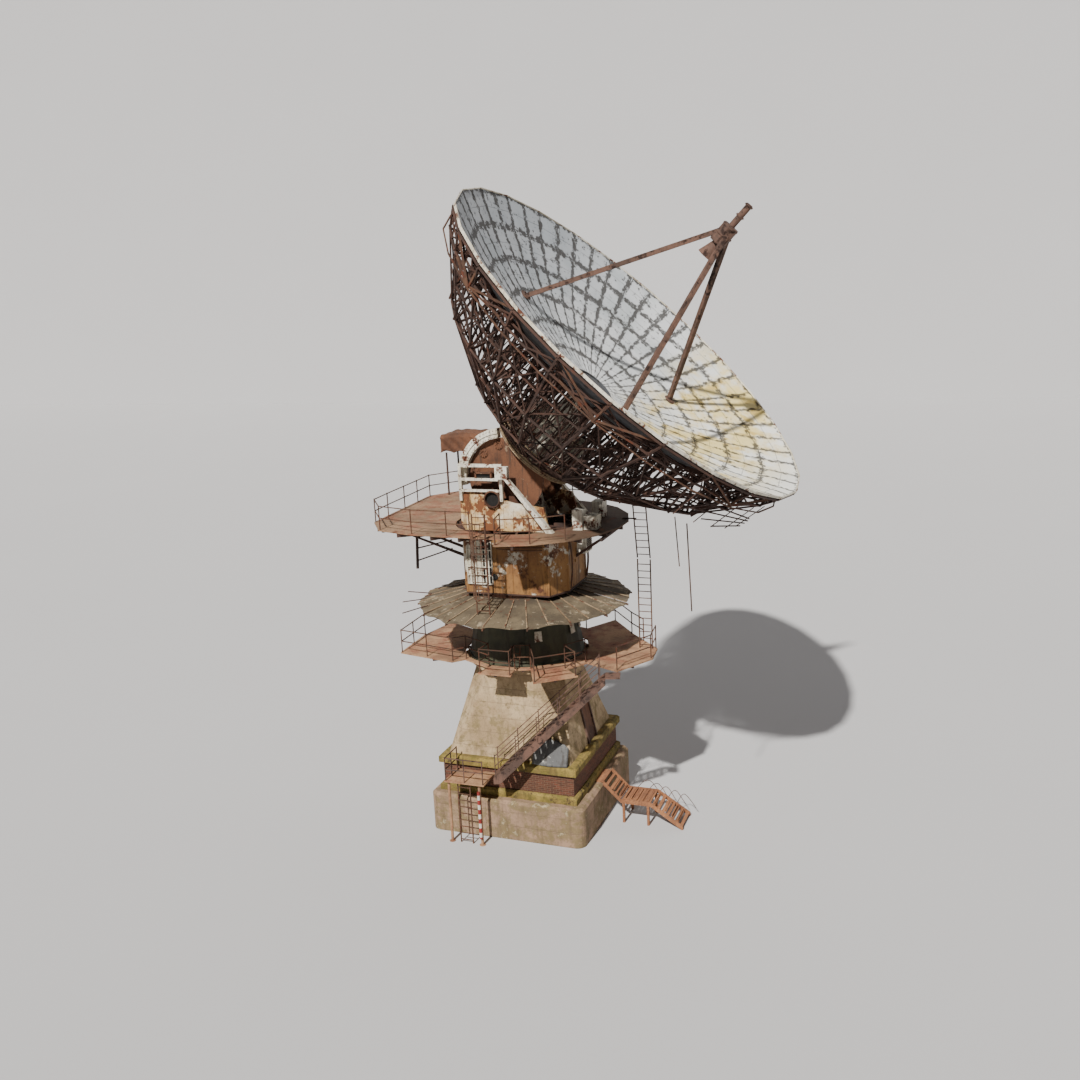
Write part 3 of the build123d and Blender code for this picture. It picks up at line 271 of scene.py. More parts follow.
class Shader:
    """One material's node tree, on object coordinates."""

    def __init__(self, name):
        self.material = bpy.data.materials.new(name)
        self.material.use_nodes = True
        self.tree = self.material.node_tree
        self.tree.nodes.clear()
        self.place = self.node("ShaderNodeTexCoord").outputs["Object"]
        parts = self.node("ShaderNodeSeparateXYZ", values={0: self.place}).outputs
        self.x, self.y, self.z = (Value(self, socket) for socket in parts)

    def node(self, kind, settings=None, values=None):
        made = self.tree.nodes.new(kind)
        for key, setting in (settings or {}).items():
            setattr(made, key, setting)
        for key, value in (values or {}).items():
            value = value.socket if isinstance(value, Value) else value
            if isinstance(value, bpy.types.NodeSocket):
                self.tree.links.new(value, made.inputs[key])
            else:
                colour = isinstance(value, tuple) and made.inputs[key].type == "RGBA"
                made.inputs[key].default_value = (*value, 1) if colour else value
        return made

    def maths(self, operation, *operands):
        made = self.node("ShaderNodeMath", {"operation": operation}, dict(enumerate(operands)))
        return Value(self, made.outputs[0])

    def at(self, x, y, z):
        return Value(self, self.node("ShaderNodeCombineXYZ", values={0: x, 1: y, 2: z}).outputs[0])

    def noise(self, scale, detail=5.0, roughness=0.55, place=None):
        made = self.node("ShaderNodeTexNoise", values={
            "Vector": place or self.place, "Scale": scale, "Detail": detail, "Roughness": roughness})
        return Value(self, made.outputs[0])

    def step(self, value, low, high):
        """0 below low, 1 above high and smooth between."""
        made = self.node("ShaderNodeMapRange", {"interpolation_type": "SMOOTHSTEP"},
                         {0: value, 1: low, 2: high, 3: 0.0, 4: 1.0})
        return Value(self, made.outputs[0])

    def mix(self, factor, first, second):
        made = self.node("ShaderNodeMix", {"data_type": "RGBA"}, {0: factor, 6: first, 7: second})
        return Value(self, made.outputs[2])

    def seam(self, value, width):
        """1 where the value lies within width of a whole number."""
        away = self.maths("ABSOLUTE", self.maths("FRACT", value) - 0.5)
        return self.step(away, 0.5 - width, 0.5 - width * 0.35)

    def finish(self, colour, roughness, height, distance, metallic=0.0, strength=0.6):
        bump = self.node("ShaderNodeBump", values={"Strength": strength, "Distance": distance,
                                                   "Height": height})
        surface = self.node("ShaderNodeBsdfPrincipled", values={
            "Base Color": colour, "Roughness": roughness, "Metallic": metallic,
            "Normal": bump.outputs[0]})
        self.node("ShaderNodeOutputMaterial", values={"Surface": surface.outputs[0]})
        return self.material


def weathered(name, paint, shade, under, worn=0.5, scale=1.0, streak=0.35, rough=0.78, metal=0.0,
              relief=0.012, dirt=(0.03, 0.022, 0.016), extra=None):
    """Paint in two tones over a bare layer: patches wear through, rain leaves streaks and grime gathers."""
    s = Shader(name)
    broad = s.noise(0.45 * scale, 3.0)
    patch = s.noise(1.5 * scale, 9.0, 0.66)
    fine = s.noise(9.0 * scale, 7.0, 0.62)
    grain = s.noise(48.0 * scale, 3.0)
    runs = s.noise(1.0, 5.0, place=s.at(s.x * (4.5 * scale), s.y * (4.5 * scale), s.z * (0.45 * scale)))
    colour = s.mix(s.step(broad * 0.6 + patch * 0.4, 0.42, 0.58), paint, shade)
    height = fine * 0.6 + grain * 0.3
    if extra:
        colour, height = extra(s, colour, height)
    bare = s.step(patch * 0.75 + fine * 0.25, 0.78 - worn * 0.5, 0.83 - worn * 0.5)
    colour = s.mix(bare, colour, under)
    colour = s.mix(s.step(fine, 0.50, 0.72) * 0.45, colour, dirt)
    colour = s.mix(s.step(runs, 0.50, 0.68) * streak, colour, dirt)
    height = height - bare * 0.45
    return s.finish(colour, bare * 0.12 + rough + grain * 0.06, height, relief, metal)


def planks(s, colour, height):
    """Boards across the run, each in its own tone, with long grain."""
    board = s.maths("FLOOR", s.x * 4.2)
    tone = s.noise(1.0, 1.0, place=s.at(board * 7.31, 0.0, 0.0))
    grain = s.noise(1.0, 6.0, 0.7, s.at(s.x * 30.0, s.y * 2.2, s.z * 30.0))
    colour = s.mix(s.step(tone, 0.4, 0.6) * 0.5, colour, tint(0.42, 0.27, 0.19))
    return s.mix(s.step(grain, 0.48, 0.62) * 0.6, colour, tint(0.30, 0.19, 0.14)), height + grain * 0.5


def bricks(s, colour, height):
    """Courses of brick, offset by half a brick, with pale mortar."""
    course = s.maths("FLOOR", s.z / 0.085)
    along = (s.x + s.y) / 0.26 + s.maths("FRACT", course * 0.5)
    mortar = s.maths("MAXIMUM", s.seam(s.z / 0.085, 0.13), s.seam(along, 0.045))
    tone = s.noise(1.0, 0.0, place=s.at(s.maths("FLOOR", along) * 3.7, course * 5.3, 0.0))
    colour = s.mix(s.step(tone, 0.4, 0.6), colour, tint(0.30, 0.17, 0.12))
    return s.mix(mortar * 0.75, colour, tint(0.45, 0.38, 0.29)), height - mortar * 0.9


def moss(s, colour, height):
    growth = s.step(s.noise(2.6, 8.0, 0.7), 0.44, 0.60)
    return s.mix(growth * 0.85, colour, tint(0.40, 0.36, 0.15)), height + growth * 0.5


def lichen(s, colour, height):
    """Brown-green growth, thicker towards the foot, and faint lines between the pours."""
    growth = s.step(s.noise(1.9, 9.0, 0.72) - s.z * 0.012, 0.43, 0.55)
    colour = s.mix(growth * 0.6, colour, tint(0.42, 0.37, 0.22))
    pour = s.seam(s.z / 0.62, 0.03)
    return s.mix(pour * 0.35, colour, tint(0.40, 0.33, 0.26)), height - pour * 0.4


def checker(s, colour, height):
    """Raised lozenges of tread plate, and rust along the plates' radial seams."""
    tread = s.seam((s.x + s.y) * 9.0, 0.16) * s.seam((s.x - s.y) * 9.0, 0.16)
    red = s.step(s.noise(0.9, 7.0, 0.7), 0.46, 0.60)
    return s.mix(red * 0.6, colour, tint(0.56, 0.33, 0.24)), height + tread * 0.7


def shaded_deck(s, colour, height):
    """Tread plate that turns dark brown towards the far right side."""
    colour, height = checker(s, colour, height)
    dark = s.step(s.x + s.y * 0.45 + s.noise(0.8) * 1.6, 1.2, 3.0)
    return s.mix(dark * 0.8, colour, tint(0.24, 0.17, 0.12)), height


def corrugated(s, colour, height):
    """Upright ribs pressed into the sheet, with gold-brown rust between the white remains."""
    press = s.maths("SINE", (s.x + s.y) * 22.0)
    low = s.step(s.z + s.noise(1.3) * 1.5, 11.2, 12.9)
    white = s.step(s.noise(1.1, 8.0, 0.68) + low * 0.10 - s.step(s.x, -1.0, 1.2) * 0.07, 0.56, 0.62)
    return s.mix(white * 0.85, colour, tint(0.80, 0.78, 0.72)), height + press * 0.25 + white * 0.4


def radial_patches(s, colour, height):
    """Patches of rust and old white paint on the skirt, stronger towards its edge, and darker towards its
    inner edge by the cabin.
    """
    radius = s.maths("SQRT", s.x * s.x + s.y * s.y)
    edge = s.step(radius, 2.6, 4.6)
    white = s.step(s.noise(2.3, 8.0, 0.72) + edge * 0.06, 0.60, 0.66)
    # darker towards the inner edge, by the cabin
    colour = s.mix(s.step(-1.0 * radius, -3.2, -2.2) * 0.6, colour, tint(0.20, 0.17, 0.14))
    return s.mix(white * 0.6, colour, tint(0.66, 0.60, 0.50)), height + white * 0.4


def bands(s, colour, height):
    stripe = s.step(s.maths("SINE", s.z * 15.0), -0.1, 0.1)
    return s.mix(stripe, colour, tint(0.80, 0.77, 0.72)), height


def reflector_face(grime):
    """White panels with broken dark seams on the panel grid, peeled spots and a yellow stain low down, with
    painted shade that turns the top blue-grey and painted light that turns the bottom near white.
    """
    s = Shader("reflector_face_paint")
    across = s.y
    up = s.x * -sin(ELEVATION) + (s.z - float(AXIS[2])) * cos(ELEVATION)
    radius = s.maths("SQRT", across * across + up * up)
    turn = s.maths("ARCTAN2", up, across) / SECTOR
    inside = (s.maths("FRACT", turn) - 0.5) * SECTOR
    flat_radius = radius * s.maths("COSINE", inside) / cos(SECTOR / 2)
    rings = (flat_radius - float(PANEL_RINGS[0])) / RING_STEP
    broken = s.step(s.noise(1.5, 6.0, 0.65), 0.24, 0.50)
    wobble = s.noise(5.0, 6.0, 0.7) * 0.09 - 0.045
    outer = s.step(radius, 2.9, 3.3)
    spokes = s.maths("MAXIMUM", s.seam(turn + wobble * 0.5, 0.034),
                     s.seam(turn * 2.0 + wobble, 0.040) * outer)
    hoops = s.maths("MAXIMUM", s.seam(rings + wobble, 0.030), s.seam(rings * 2.0 + wobble, 0.03) * 0.55)
    seams = s.maths("MAXIMUM", spokes, hoops)
    near = s.maths("MAXIMUM", s.seam(turn * 2.0, 0.20), s.seam(rings, 0.16))
    peeled = s.step(s.noise(4.2, 9.0, 0.75) + near * 0.13 + s.step(up, -3.0, 2.0) * 0.04, 0.61, 0.65)
    colour = s.mix(s.step(s.noise(0.5, 4.0), 0.4, 0.6), tint(0.80, 0.81, 0.82), tint(0.71, 0.73, 0.74))
    # painted shade: the panels turn blue-grey towards the top of the bowl
    colour = s.mix(s.step(up, 0.5, 6.5) * 0.55, colour, tint(0.50, 0.53, 0.57))
    # painted light: the panels turn near white towards the bottom of the bowl
    colour = s.mix(s.step(-1.0 * up, -1.0, 5.5) * 0.75, colour, tint(0.97, 0.965, 0.93))
    low = s.step(-1.0 * up, 0.2, 3.0) * s.step(up, -8.8, -5.6)
    stain = low * s.step(s.noise(0.42, 5.0, 0.6) + s.noise(2.6, 6.0) * 0.25, 0.50, 0.68)
    colour = s.mix(stain * 0.75, colour, tint(0.90, 0.79, 0.36))
    colour = s.mix(stain * s.step(s.noise(1.8, 7.0), 0.5, 0.66) * 0.6, colour, tint(0.74, 0.60, 0.18))
    dust = near * s.step(s.noise(2.2, 7.0), 0.44, 0.68) * 0.26 * grime
    colour = s.mix(dust, colour, tint(0.42, 0.40, 0.35))
    dark = s.maths("MAXIMUM", seams * broken, peeled)
    colour = s.mix(dark * 0.88 * grime, colour, tint(0.15, 0.13, 0.115))
    fine = s.noise(22.0, 5.0)
    return s.finish(colour, dark * 0.25 + 0.50 + fine * 0.1, fine * 0.3 - dark, 0.010)


def make_materials(grime):
    """Every finish of the object by its name."""
    rust = tint(0.36, 0.19, 0.12)
    dark_rust = tint(0.17, 0.10, 0.075)
    made = {
        "lattice": weathered("lattice_steel", tint(0.23, 0.165, 0.14), tint(0.31, 0.21, 0.17), rust, 0.36,
            1.6, 0.3, 0.8, 0.15),
        "rust": weathered("brown_steel", tint(0.36, 0.25, 0.18), tint(0.27, 0.18, 0.13), rust, 0.50, 2.2,
            0.3, 0.82, 0.1),
        "pink": weathered("primed_steel", tint(0.40, 0.29, 0.24), tint(0.29, 0.215, 0.18), dark_rust,
            0.50, 2.0, 0.3, 0.8),
        "concrete": weathered("tower_concrete", tint(0.70, 0.61, 0.48), tint(0.58, 0.49, 0.37),
            tint(0.50, 0.43, 0.31), 0.36, 1.0, 0.28, 0.93, 0, 0.03, tint(0.34, 0.29, 0.20), lichen),
        "foundation": weathered("foundation_concrete", tint(0.60, 0.49, 0.40), tint(0.51, 0.42, 0.33),
            tint(0.66, 0.60, 0.48), 0.40, 1.3, 0.3, 0.94, 0, 0.04, tint(0.29, 0.23, 0.17), lichen),
        "cornice": weathered("mossy_stone", tint(0.55, 0.47, 0.24), tint(0.44, 0.37, 0.19),
            tint(0.29, 0.23, 0.15), 0.42, 1.6, 0.4, 0.94, 0, 0.03, tint(0.20, 0.17, 0.10), moss),
        "brick": weathered("red_brick", tint(0.40, 0.22, 0.16), tint(0.34, 0.20, 0.14),
            tint(0.25, 0.16, 0.12), 0.34, 1.8, 0.3, 0.93, 0, 0.02, extra=bricks),
        "deck": weathered("tread_plate", tint(0.66, 0.51, 0.38), tint(0.52, 0.39, 0.29),
            tint(0.44, 0.27, 0.18), 0.40, 1.2, 0.15, 0.82, 0.05, 0.012, tint(0.27, 0.18, 0.13), checker),
        "upper_deck": weathered("upper_tread_plate", tint(0.58, 0.46, 0.35), tint(0.46, 0.36, 0.27),
            tint(0.42, 0.26, 0.17), 0.42, 1.2, 0.15, 0.82, 0.05, 0.012, tint(0.26, 0.18, 0.13),
            shaded_deck),
        "drum": weathered("drum_paint", tint(0.27, 0.27, 0.19), tint(0.19, 0.19, 0.14),
            tint(0.27, 0.20, 0.14), 0.26, 1.2, 0.5, 0.72),
        "white": weathered("chipped_white", tint(0.86, 0.84, 0.78), tint(0.76, 0.73, 0.65), rust, 0.50,
            1.7, 0.4, 0.70, 0, 0.015, tint(0.33, 0.23, 0.15)),
        "casing": weathered("patched_casing", tint(0.88, 0.86, 0.80), tint(0.74, 0.60, 0.38),
            tint(0.45, 0.27, 0.15), 0.56, 0.9, 0.5, 0.72, 0, 0.018, tint(0.27, 0.17, 0.10)),
        "cheek": weathered("rusted_plate", tint(0.42, 0.27, 0.18), tint(0.29, 0.18, 0.125),
            tint(0.60, 0.50, 0.40), 0.40, 1.6, 0.6, 0.80, 0.1),
        "skirt": weathered("skirt_sheet_rust", tint(0.41, 0.36, 0.28), tint(0.31, 0.27, 0.21),
            tint(0.33, 0.22, 0.15), 0.40, 1.1, 0.2, 0.84, 0, 0.015, tint(0.21, 0.17, 0.13), radial_patches),
        "cabin": weathered("cabin_sheet_rust", tint(0.58, 0.42, 0.24), tint(0.46, 0.31, 0.17),
            tint(0.33, 0.19, 0.11), 0.42, 0.9, 0.6, 0.72, 0.1, 0.018, tint(0.17, 0.12, 0.08), corrugated),
        "hub": weathered("hub_cream", tint(0.60, 0.52, 0.41), tint(0.49, 0.40, 0.30), rust, 0.50, 1.9,
            0.4, 0.74),
        "wood": weathered("ramp_timber", tint(0.66, 0.45, 0.30), tint(0.56, 0.37, 0.25),
            tint(0.46, 0.34, 0.26), 0.34, 1.6, 0.15, 0.90, 0, 0.02, tint(0.24, 0.16, 0.11), planks),
        "steel": weathered("greased_steel", tint(0.40, 0.39, 0.37), tint(0.31, 0.30, 0.28), rust, 0.30,
            3.0, 0.2, 0.48, 0.7, 0.006),
        # painted shade: near-black finish for sheets that stand in for the dark inside of openings
        "void": weathered("painted_shade_hollow", tint(0.07, 0.065, 0.06), tint(0.045, 0.04, 0.04), dark_rust,
            0.2, 2.0, 0.2, 0.9),
        "back": weathered("reflector_back_sheet", tint(0.30, 0.31, 0.33), tint(0.23, 0.225, 0.225),
            dark_rust, 0.40, 1.2, 0.5, 0.70, 0.2),
        "canopy": weathered("canopy_sheet_rust", tint(0.42, 0.27, 0.18), tint(0.32, 0.20, 0.13),
            tint(0.62, 0.52, 0.42), 0.26, 1.4, 0.4, 0.82, 0.1),
        "zinc": weathered("leaning_zinc", tint(0.42, 0.42, 0.41), tint(0.33, 0.33, 0.33),
            tint(0.70, 0.69, 0.66), 0.36, 1.4, 0.7, 0.55, 0.35),
        "cream": weathered("door_cream", tint(0.78, 0.72, 0.50), tint(0.66, 0.58, 0.38), rust, 0.42, 1.8,
            0.4, 0.74),
        "striped": weathered("banded_post", tint(0.56, 0.15, 0.12), tint(0.48, 0.12, 0.10), dark_rust,
            0.3, 2.4, 0.2, 0.7, 0, 0.006, extra=bands),
    }
    made["reflector"] = reflector_face(grime)
    return made


FINISHES = {}
NODE_FINISH = {
    "concrete": ("concrete_tower", "tower_cap_slab"),
    "foundation": ("foundation_block",),
    "cornice": ("plinth_cornices",),
    "brick": ("plinth_brick_course",),
    "deck": ("lower_deck_plates", "stair_landing"),
    "upper_deck": ("upper_deck_plates",),
    "drum": ("drum_wall_panels", "drum_door"),
    "white": ("drum_windows", "rim_arches", "side_frame", "drive_braces", "hub_cabinets",
              "bearing_pedestals", "equipment_cabinets"),
    "casing": ("side_casings",),
    "cheek": ("tilt_cheeks", "elevation_motor", "turret_column_panels"),
    "skirt": ("skirt_panels",),
    "cabin": ("cabin_wall_panels", "cabin_corner_posts", "cabin_door"),
    "hub": ("hub_ring",),
    "wood": ("ramp_beams", "ramp_boards", "ramp_trestles"),
    "steel": ("king_tube", "azimuth_ring_gear", "azimuth_bearing_ring", "azimuth_pinion",
              "elevation_gear", "elevation_pinion", "trunnion_shaft", "azimuth_motor"),
    "lattice": ("rib_chords", "rib_struts", "hoop_bars", "upper_deck_beams", "upper_deck_struts",
                "lower_deck_beams", "canopy_posts", "cabin_floor_and_roof", "turntable", "hanging_ladder"),
    "pink": ("feed_legs", "feed_box", "feed_horn", "stair_stringers", "stair_treads", "stair_railing"),
    "rust": ("lower_deck_railing", "upper_deck_railing", "fixed_ladders", "cabin_ladder", "skirt_ribs"),
    "reflector": ("reflector_panels",),
    "canopy": ("canopy_roof",),
}


# ------------------------------------------------------------------ settings
class DishSettings(bpy.types.PropertyGroup):
    """Reflector and truss."""

    panel_dent: FloatProperty(
        name="Panel Dent", description="Depth of the dents in the reflector's panels", default=0.016,
        min=0, max=0.1, unit="LENGTH")
    grime: FloatProperty(
        name="Grime", description="Strength of the dark seams and spots", default=1.0, min=0, max=1,
        subtype="FACTOR")
    lattice_bar: FloatProperty(
        name="Lattice Bar", description="Leg width of the added lattice angles", default=0.052,
        min=0.01, max=0.2, unit="LENGTH")


class CabinSettings(bpy.types.PropertyGroup):
    """Cabin, skirt and canopy."""

    slats: IntProperty(
        name="Slats", description="Upright slats in the barred panel", default=9, min=2, max=30)
    skirt_warp: FloatProperty(
        name="Skirt Warp", description="How far the skirt's sheets have bent", default=0.045, min=0,
        max=0.2, unit="LENGTH")
    canopy_crumple: FloatProperty(
        name="Canopy Crumple", description="Depth of the folds in the canopy sheet", default=0.07,
        min=0, max=0.3, unit="LENGTH")


class StageSettings(bpy.types.PropertyGroup):
    """Light and floor."""

    sun_strength: FloatProperty(
        name="Sun Strength", description="Strength of the main light", default=6.9, min=0, max=20)
    sun_angle: FloatProperty(
        name="Sun Angle", description="Size of the main light, which softens shadows", default=radians(1.6),
        min=0, max=radians(30), subtype="ANGLE")
    ambient: FloatProperty(
        name="Ambient", description="Strength of the light from all round", default=0.15, min=0, max=5)


# ------------------------------------------------------------------ pieces
class DISH_OT_finishes(bpy.types.Operator):
    """Make the materials and put them on the CAD nodes"""

    bl_idname = "dish.finishes"
    bl_label = "Finishes"
    bl_options = {"REGISTER", "UNDO"}

    def execute(self, context):
        FINISHES.update(make_materials(context.scene.dish_settings.grime))
        for finish, names in NODE_FINISH.items():
            for name in names:
                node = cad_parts[name]
                if not node.material_slots:
                    node.data.materials.append(None)
                for slot in node.material_slots:
                    slot.link = "OBJECT"
                    slot.material = FINISHES[finish]
        unpainted = set(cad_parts) - {name for names in NODE_FINISH.values() for name in names}
        if unpainted:
            raise RuntimeError(f"nodes with no finish: {sorted(unpainted)}")
        return {"FINISHED"}


class DISH_OT_reflector(bpy.types.Operator):
    """Build the dented reflector, its back sheet and its rim"""

    bl_idname = "dish.reflector"
    bl_label = "Reflector"
    bl_options = {"REGISTER", "UNDO"}

    def bowl(self, dent, drop, rows=10, columns=8):
        """Height 4.94 + r^2 / 29.112 - drop + d sin(pi u) sin(pi v) over a panel whose sides are straight.

        u and v run from 0 to 1 over each panel, and d is the panel's own dent.
        """
        rings = len(PANEL_RINGS) - 1
        u = np.linspace(0, SECTORS, SECTORS * columns + 1)
        v = np.linspace(0, rings, rings * rows + 1)
        radius = np.interp(v, np.arange(rings + 1), PANEL_RINGS)[:, None]
        inside = (u % 1 - 0.5) * SECTOR
        reach = radius * cos(SECTOR / 2) / np.cos(inside)[None]
        depth = np.random.default_rng(SEED).normal(0, dent, (rings, SECTORS))
        row = np.minimum(v.astype(int), rings - 1)
        column = np.minimum(u.astype(int), SECTORS - 1)
        swell = np.sin(pi * (v % 1))[:, None] * np.sin(pi * (u % 1))[None]
        height = dish_height(radius) - drop + depth[row][:, column] * swell
        return from_dish(around(reach, u[None] * SECTOR, height))

    def execute(self, context):
        dent = context.scene.dish_settings.panel_dent
        face = Shape().add(*skin(self.bowl(dent, 0.0)))
        face.piece("reflector_face", "reflector", "dish", "reflector", ["reflector_panels"])
        back = Shape().add(*skin(self.bowl(dent, BACK_SHEET_DROP, 3, 3)))
        back.piece("reflector_back", "back", "dish", "reflector")
        ribs = np.arange(SECTORS)
        edge = DISH_RADIUS - 0.015
        level = dish_height(DISH_RADIUS) - 0.02
        rim = Shape().add(*prisms(on_rib(ribs, edge, level), on_rib(ribs + 1, edge, level),
                                  rectangle(0.03, 0.11), DISH_AXES[2]))
        rim.piece("reflector_rim", "white", "dish", "reflector")
        inner = PANEL_RINGS[0]
        band = [(inner, -0.05), (inner + 0.09, -0.03), (inner + 0.09, 0.03), (inner, 0.03)]
        collar = Shape().add(*ring(from_dish([0, 0, dish_height(inner)]), DISH_AXES, band))
        # the centre's cover is a shallow dome, 0.10 (1 - (r / inner)^2) above the bowl's lowest point
        dome = np.linspace(0.001, inner, 8)[:, None]
        turn = np.linspace(0, 2 * pi, 49)[None]
        lift = dish_height(0.0) + 0.10 * (1 - (dome / inner) ** 2)
        collar.add(*skin(from_dish(around(dome, turn, lift))))
        collar.piece("reflector_centre", "back", "dish", "reflector")
        return {"FINISHED"}


class DISH_OT_lattice(bpy.types.Operator):
    """Add the truss's secondary bars, its outer braces and the broken walkway"""

    bl_idname = "dish.lattice"
    bl_label = "Lattice"
    bl_options = {"REGISTER", "UNDO"}

    def members(self, pairs, ribs):
        """Start and end points of the same members at every rib; each end is a (radius, height, rib)."""
        starts = [on_rib(ribs + a[2], a[0], a[1]) for a, b in pairs]
        ends = [on_rib(ribs + b[2], b[0], b[1]) for a, b in pairs]
        return np.concatenate(starts), np.concatenate(ends)

    def execute(self, context):
        width = context.scene.dish_settings.lattice_bar
        ribs = np.arange(SECTORS)
        crossed = []
        for (r0, z0), (r1, z1) in zip(BACK_NODES, BACK_NODES[1:]):
            z0, z1 = z0 + NODE_RISE, z1 + NODE_RISE
            middle = ((r0 + r1) / 2, (z0 + z1) / 2)
            front = dish_height(middle[0]) - FRONT_GAP
            crossed += [((r0, z0, 0), (r1, z1, 1)), ((r0, z0, 1), (r1, z1, 0)),
                        ((*middle, 0), (middle[0], front, 0.5)), ((*middle, 1), (middle[0], front, 0.5)),
                        ((*middle, 0), (*middle, 1)), ((middle[0], front, 0), (middle[0], front, 1))]
        for radius, level in BACK_NODES[1:]:
            front = dish_height(radius) - FRONT_GAP
            centre = (level + front) / 2
            crossed += [((radius, level + NODE_RISE, 0.5), (radius, front, 0)),
                        ((radius, level + NODE_RISE, 0.5), (radius, front, 1)),
                        ((radius, centre, 0), (radius, centre, 1))]
        bars = Shape().add(*prisms(*self.members(crossed, ribs), angle_iron(width, width / 4)))
        bars.piece("lattice_bracing", "lattice", "dish", "rusty_steel")
        rim, foot = (8.60, 7.36), (8.42, 6.52)
        outer = [((*rim, 0), (*foot, 1)), ((*rim, 2), (*foot, 1)), ((*rim, 1), (*foot, 1)),
                 ((*BACK_NODES[3], 0.2), (*foot, 1)), ((*BACK_NODES[3], 1.8), (*foot, 1))]
        braces = Shape().add(*prisms(*self.members(outer, ribs[::3]), angle_iron(0.075, 0.02)))
        hoop = [((8.46, 6.50, 0), (8.46, 6.50, 1))]
        braces.add(*prisms(*self.members(hoop, ribs), rectangle(0.05, 0.05)))
        braces.piece("rim_braces", "rust", "dish", "rusty_steel")
        walkway = Shape()
        turns = np.array([14.7, 15.4, 15.9, 16.4])
        spans = np.array([2.6, 2.2, 1.9, 1.5])
        drops = np.array([0.0, 0.28, 0.55, 0.80])
        starts = on_rib(turns, 8.2 - drops * 0.25, 6.0 - drops)
        ends = on_rib(turns + spans, 8.25 - drops * 0.2, 5.9 - drops * 1.05)
        walkway.add(*prisms(starts, ends, rectangle(0.05, 0.05)))
        posts = np.linspace(15.2, 17.4, 5)
        post_feet = on_rib(posts + 0.05, 8.05, 5.2)
        walkway.add(*prisms(on_rib(posts, 8.3, 6.6), post_feet, rectangle(0.035, 0.035)))
        hang = from_dish([-3.2, -6.6, 4.6])
        walkway.add(*tube(np.linspace(hang, hang + [0.12, 0.05, -3.4], 6), 0.026))
        walkway.add(*tube(np.linspace(hang + [-0.5, 0.2, 0.2], hang + [-0.35, 0.15, -1.7], 6), 0.022))
        walkway.piece("broken_walkway", "lattice", "dish", "rusty_steel")
        return {"FINISHED"}


class DISH_OT_hub(bpy.types.Operator):
    """Add the hub's rings, cabinet doors and the feed's collars"""

    bl_idname = "dish.hub"
    bl_label = "Hub and Feed"
    bl_options = {"REGISTER", "UNDO"}

    def execute(self, context):
        rings = Shape()
        for radius, level in ((1.86, 1.20), (1.90, 1.29), (1.86, 1.37), (2.02, 1.62), (2.12, 1.86)):
            hoop = circle(0.028, 8) + np.array([radius, 0])
            rings.add(*ring(from_dish([0, 0, level]), DISH_AXES, hoop, 72))
        turn = clock(36)
        seats = from_dish(around(1.855, turn, 1.25))
        outward = around(1.0, turn) @ DISH_AXES
        rings.add(*prisms(seats, seats + outward * 0.05, circle(0.035, 6)))
        rings.piece("hub_ring_trim", "hub", "dish", "hub_beige")
        doors = Shape()
        slots = Shape()
        door_face = 1.535
        levels = np.linspace(1.60, 1.95, 7)
        for turn in clock(6):
            spin = np.array([[cos(turn), sin(turn), 0], [-sin(turn), cos(turn), 0], [0, 0, 1]])
            axes = spin @ DISH_AXES
            doors.add(*panel_box((1.505, -0.27, 1.52), (1.53, 0.27, 2.20), axes, AXIS, 0.008))
            slots.add(*prisms(AXIS + points(door_face, -0.2, levels) @ axes,
                              AXIS + points(door_face, 0.2, levels) @ axes, rectangle(0.02, 0.02)))
        doors.piece("hub_cabinet_doors", "white", "dish", "white_paint")
        slots.piece("hub_cabinet_louvres", "lattice", "dish", "white_paint")
        feet = Shape()
        for angle in (90, 210, 330):
            place = from_dish(around(FEED_FOOT, radians(angle), dish_height(FEED_FOOT) + 0.02))
            feet.add(*ring(place, DISH_AXES, [(0.10, 0), (0.26, 0), (0.24, 0.05), (0.10, 0.09)], 16))
            bolt = place + around(0.2, clock(8), 0.04) @ DISH_AXES
            feet.add(*prisms(bolt, bolt + DISH_AXES[2] * 0.05, circle(0.024, 6)))
        for level, radius in ((12.30, 0.31), (12.62, 0.33), (12.98, 0.31), (13.5, 0.145), (13.98, 0.145)):
            collar = np.array(rectangle(0.06, 0.06)) + [radius, 0]
            feet.add(*ring(from_dish([0, 0, level]), DISH_AXES, collar, 24))
        feet.piece("feed_fittings", "pink", "dish", "rusty_steel")
        return {"FINISHED"}


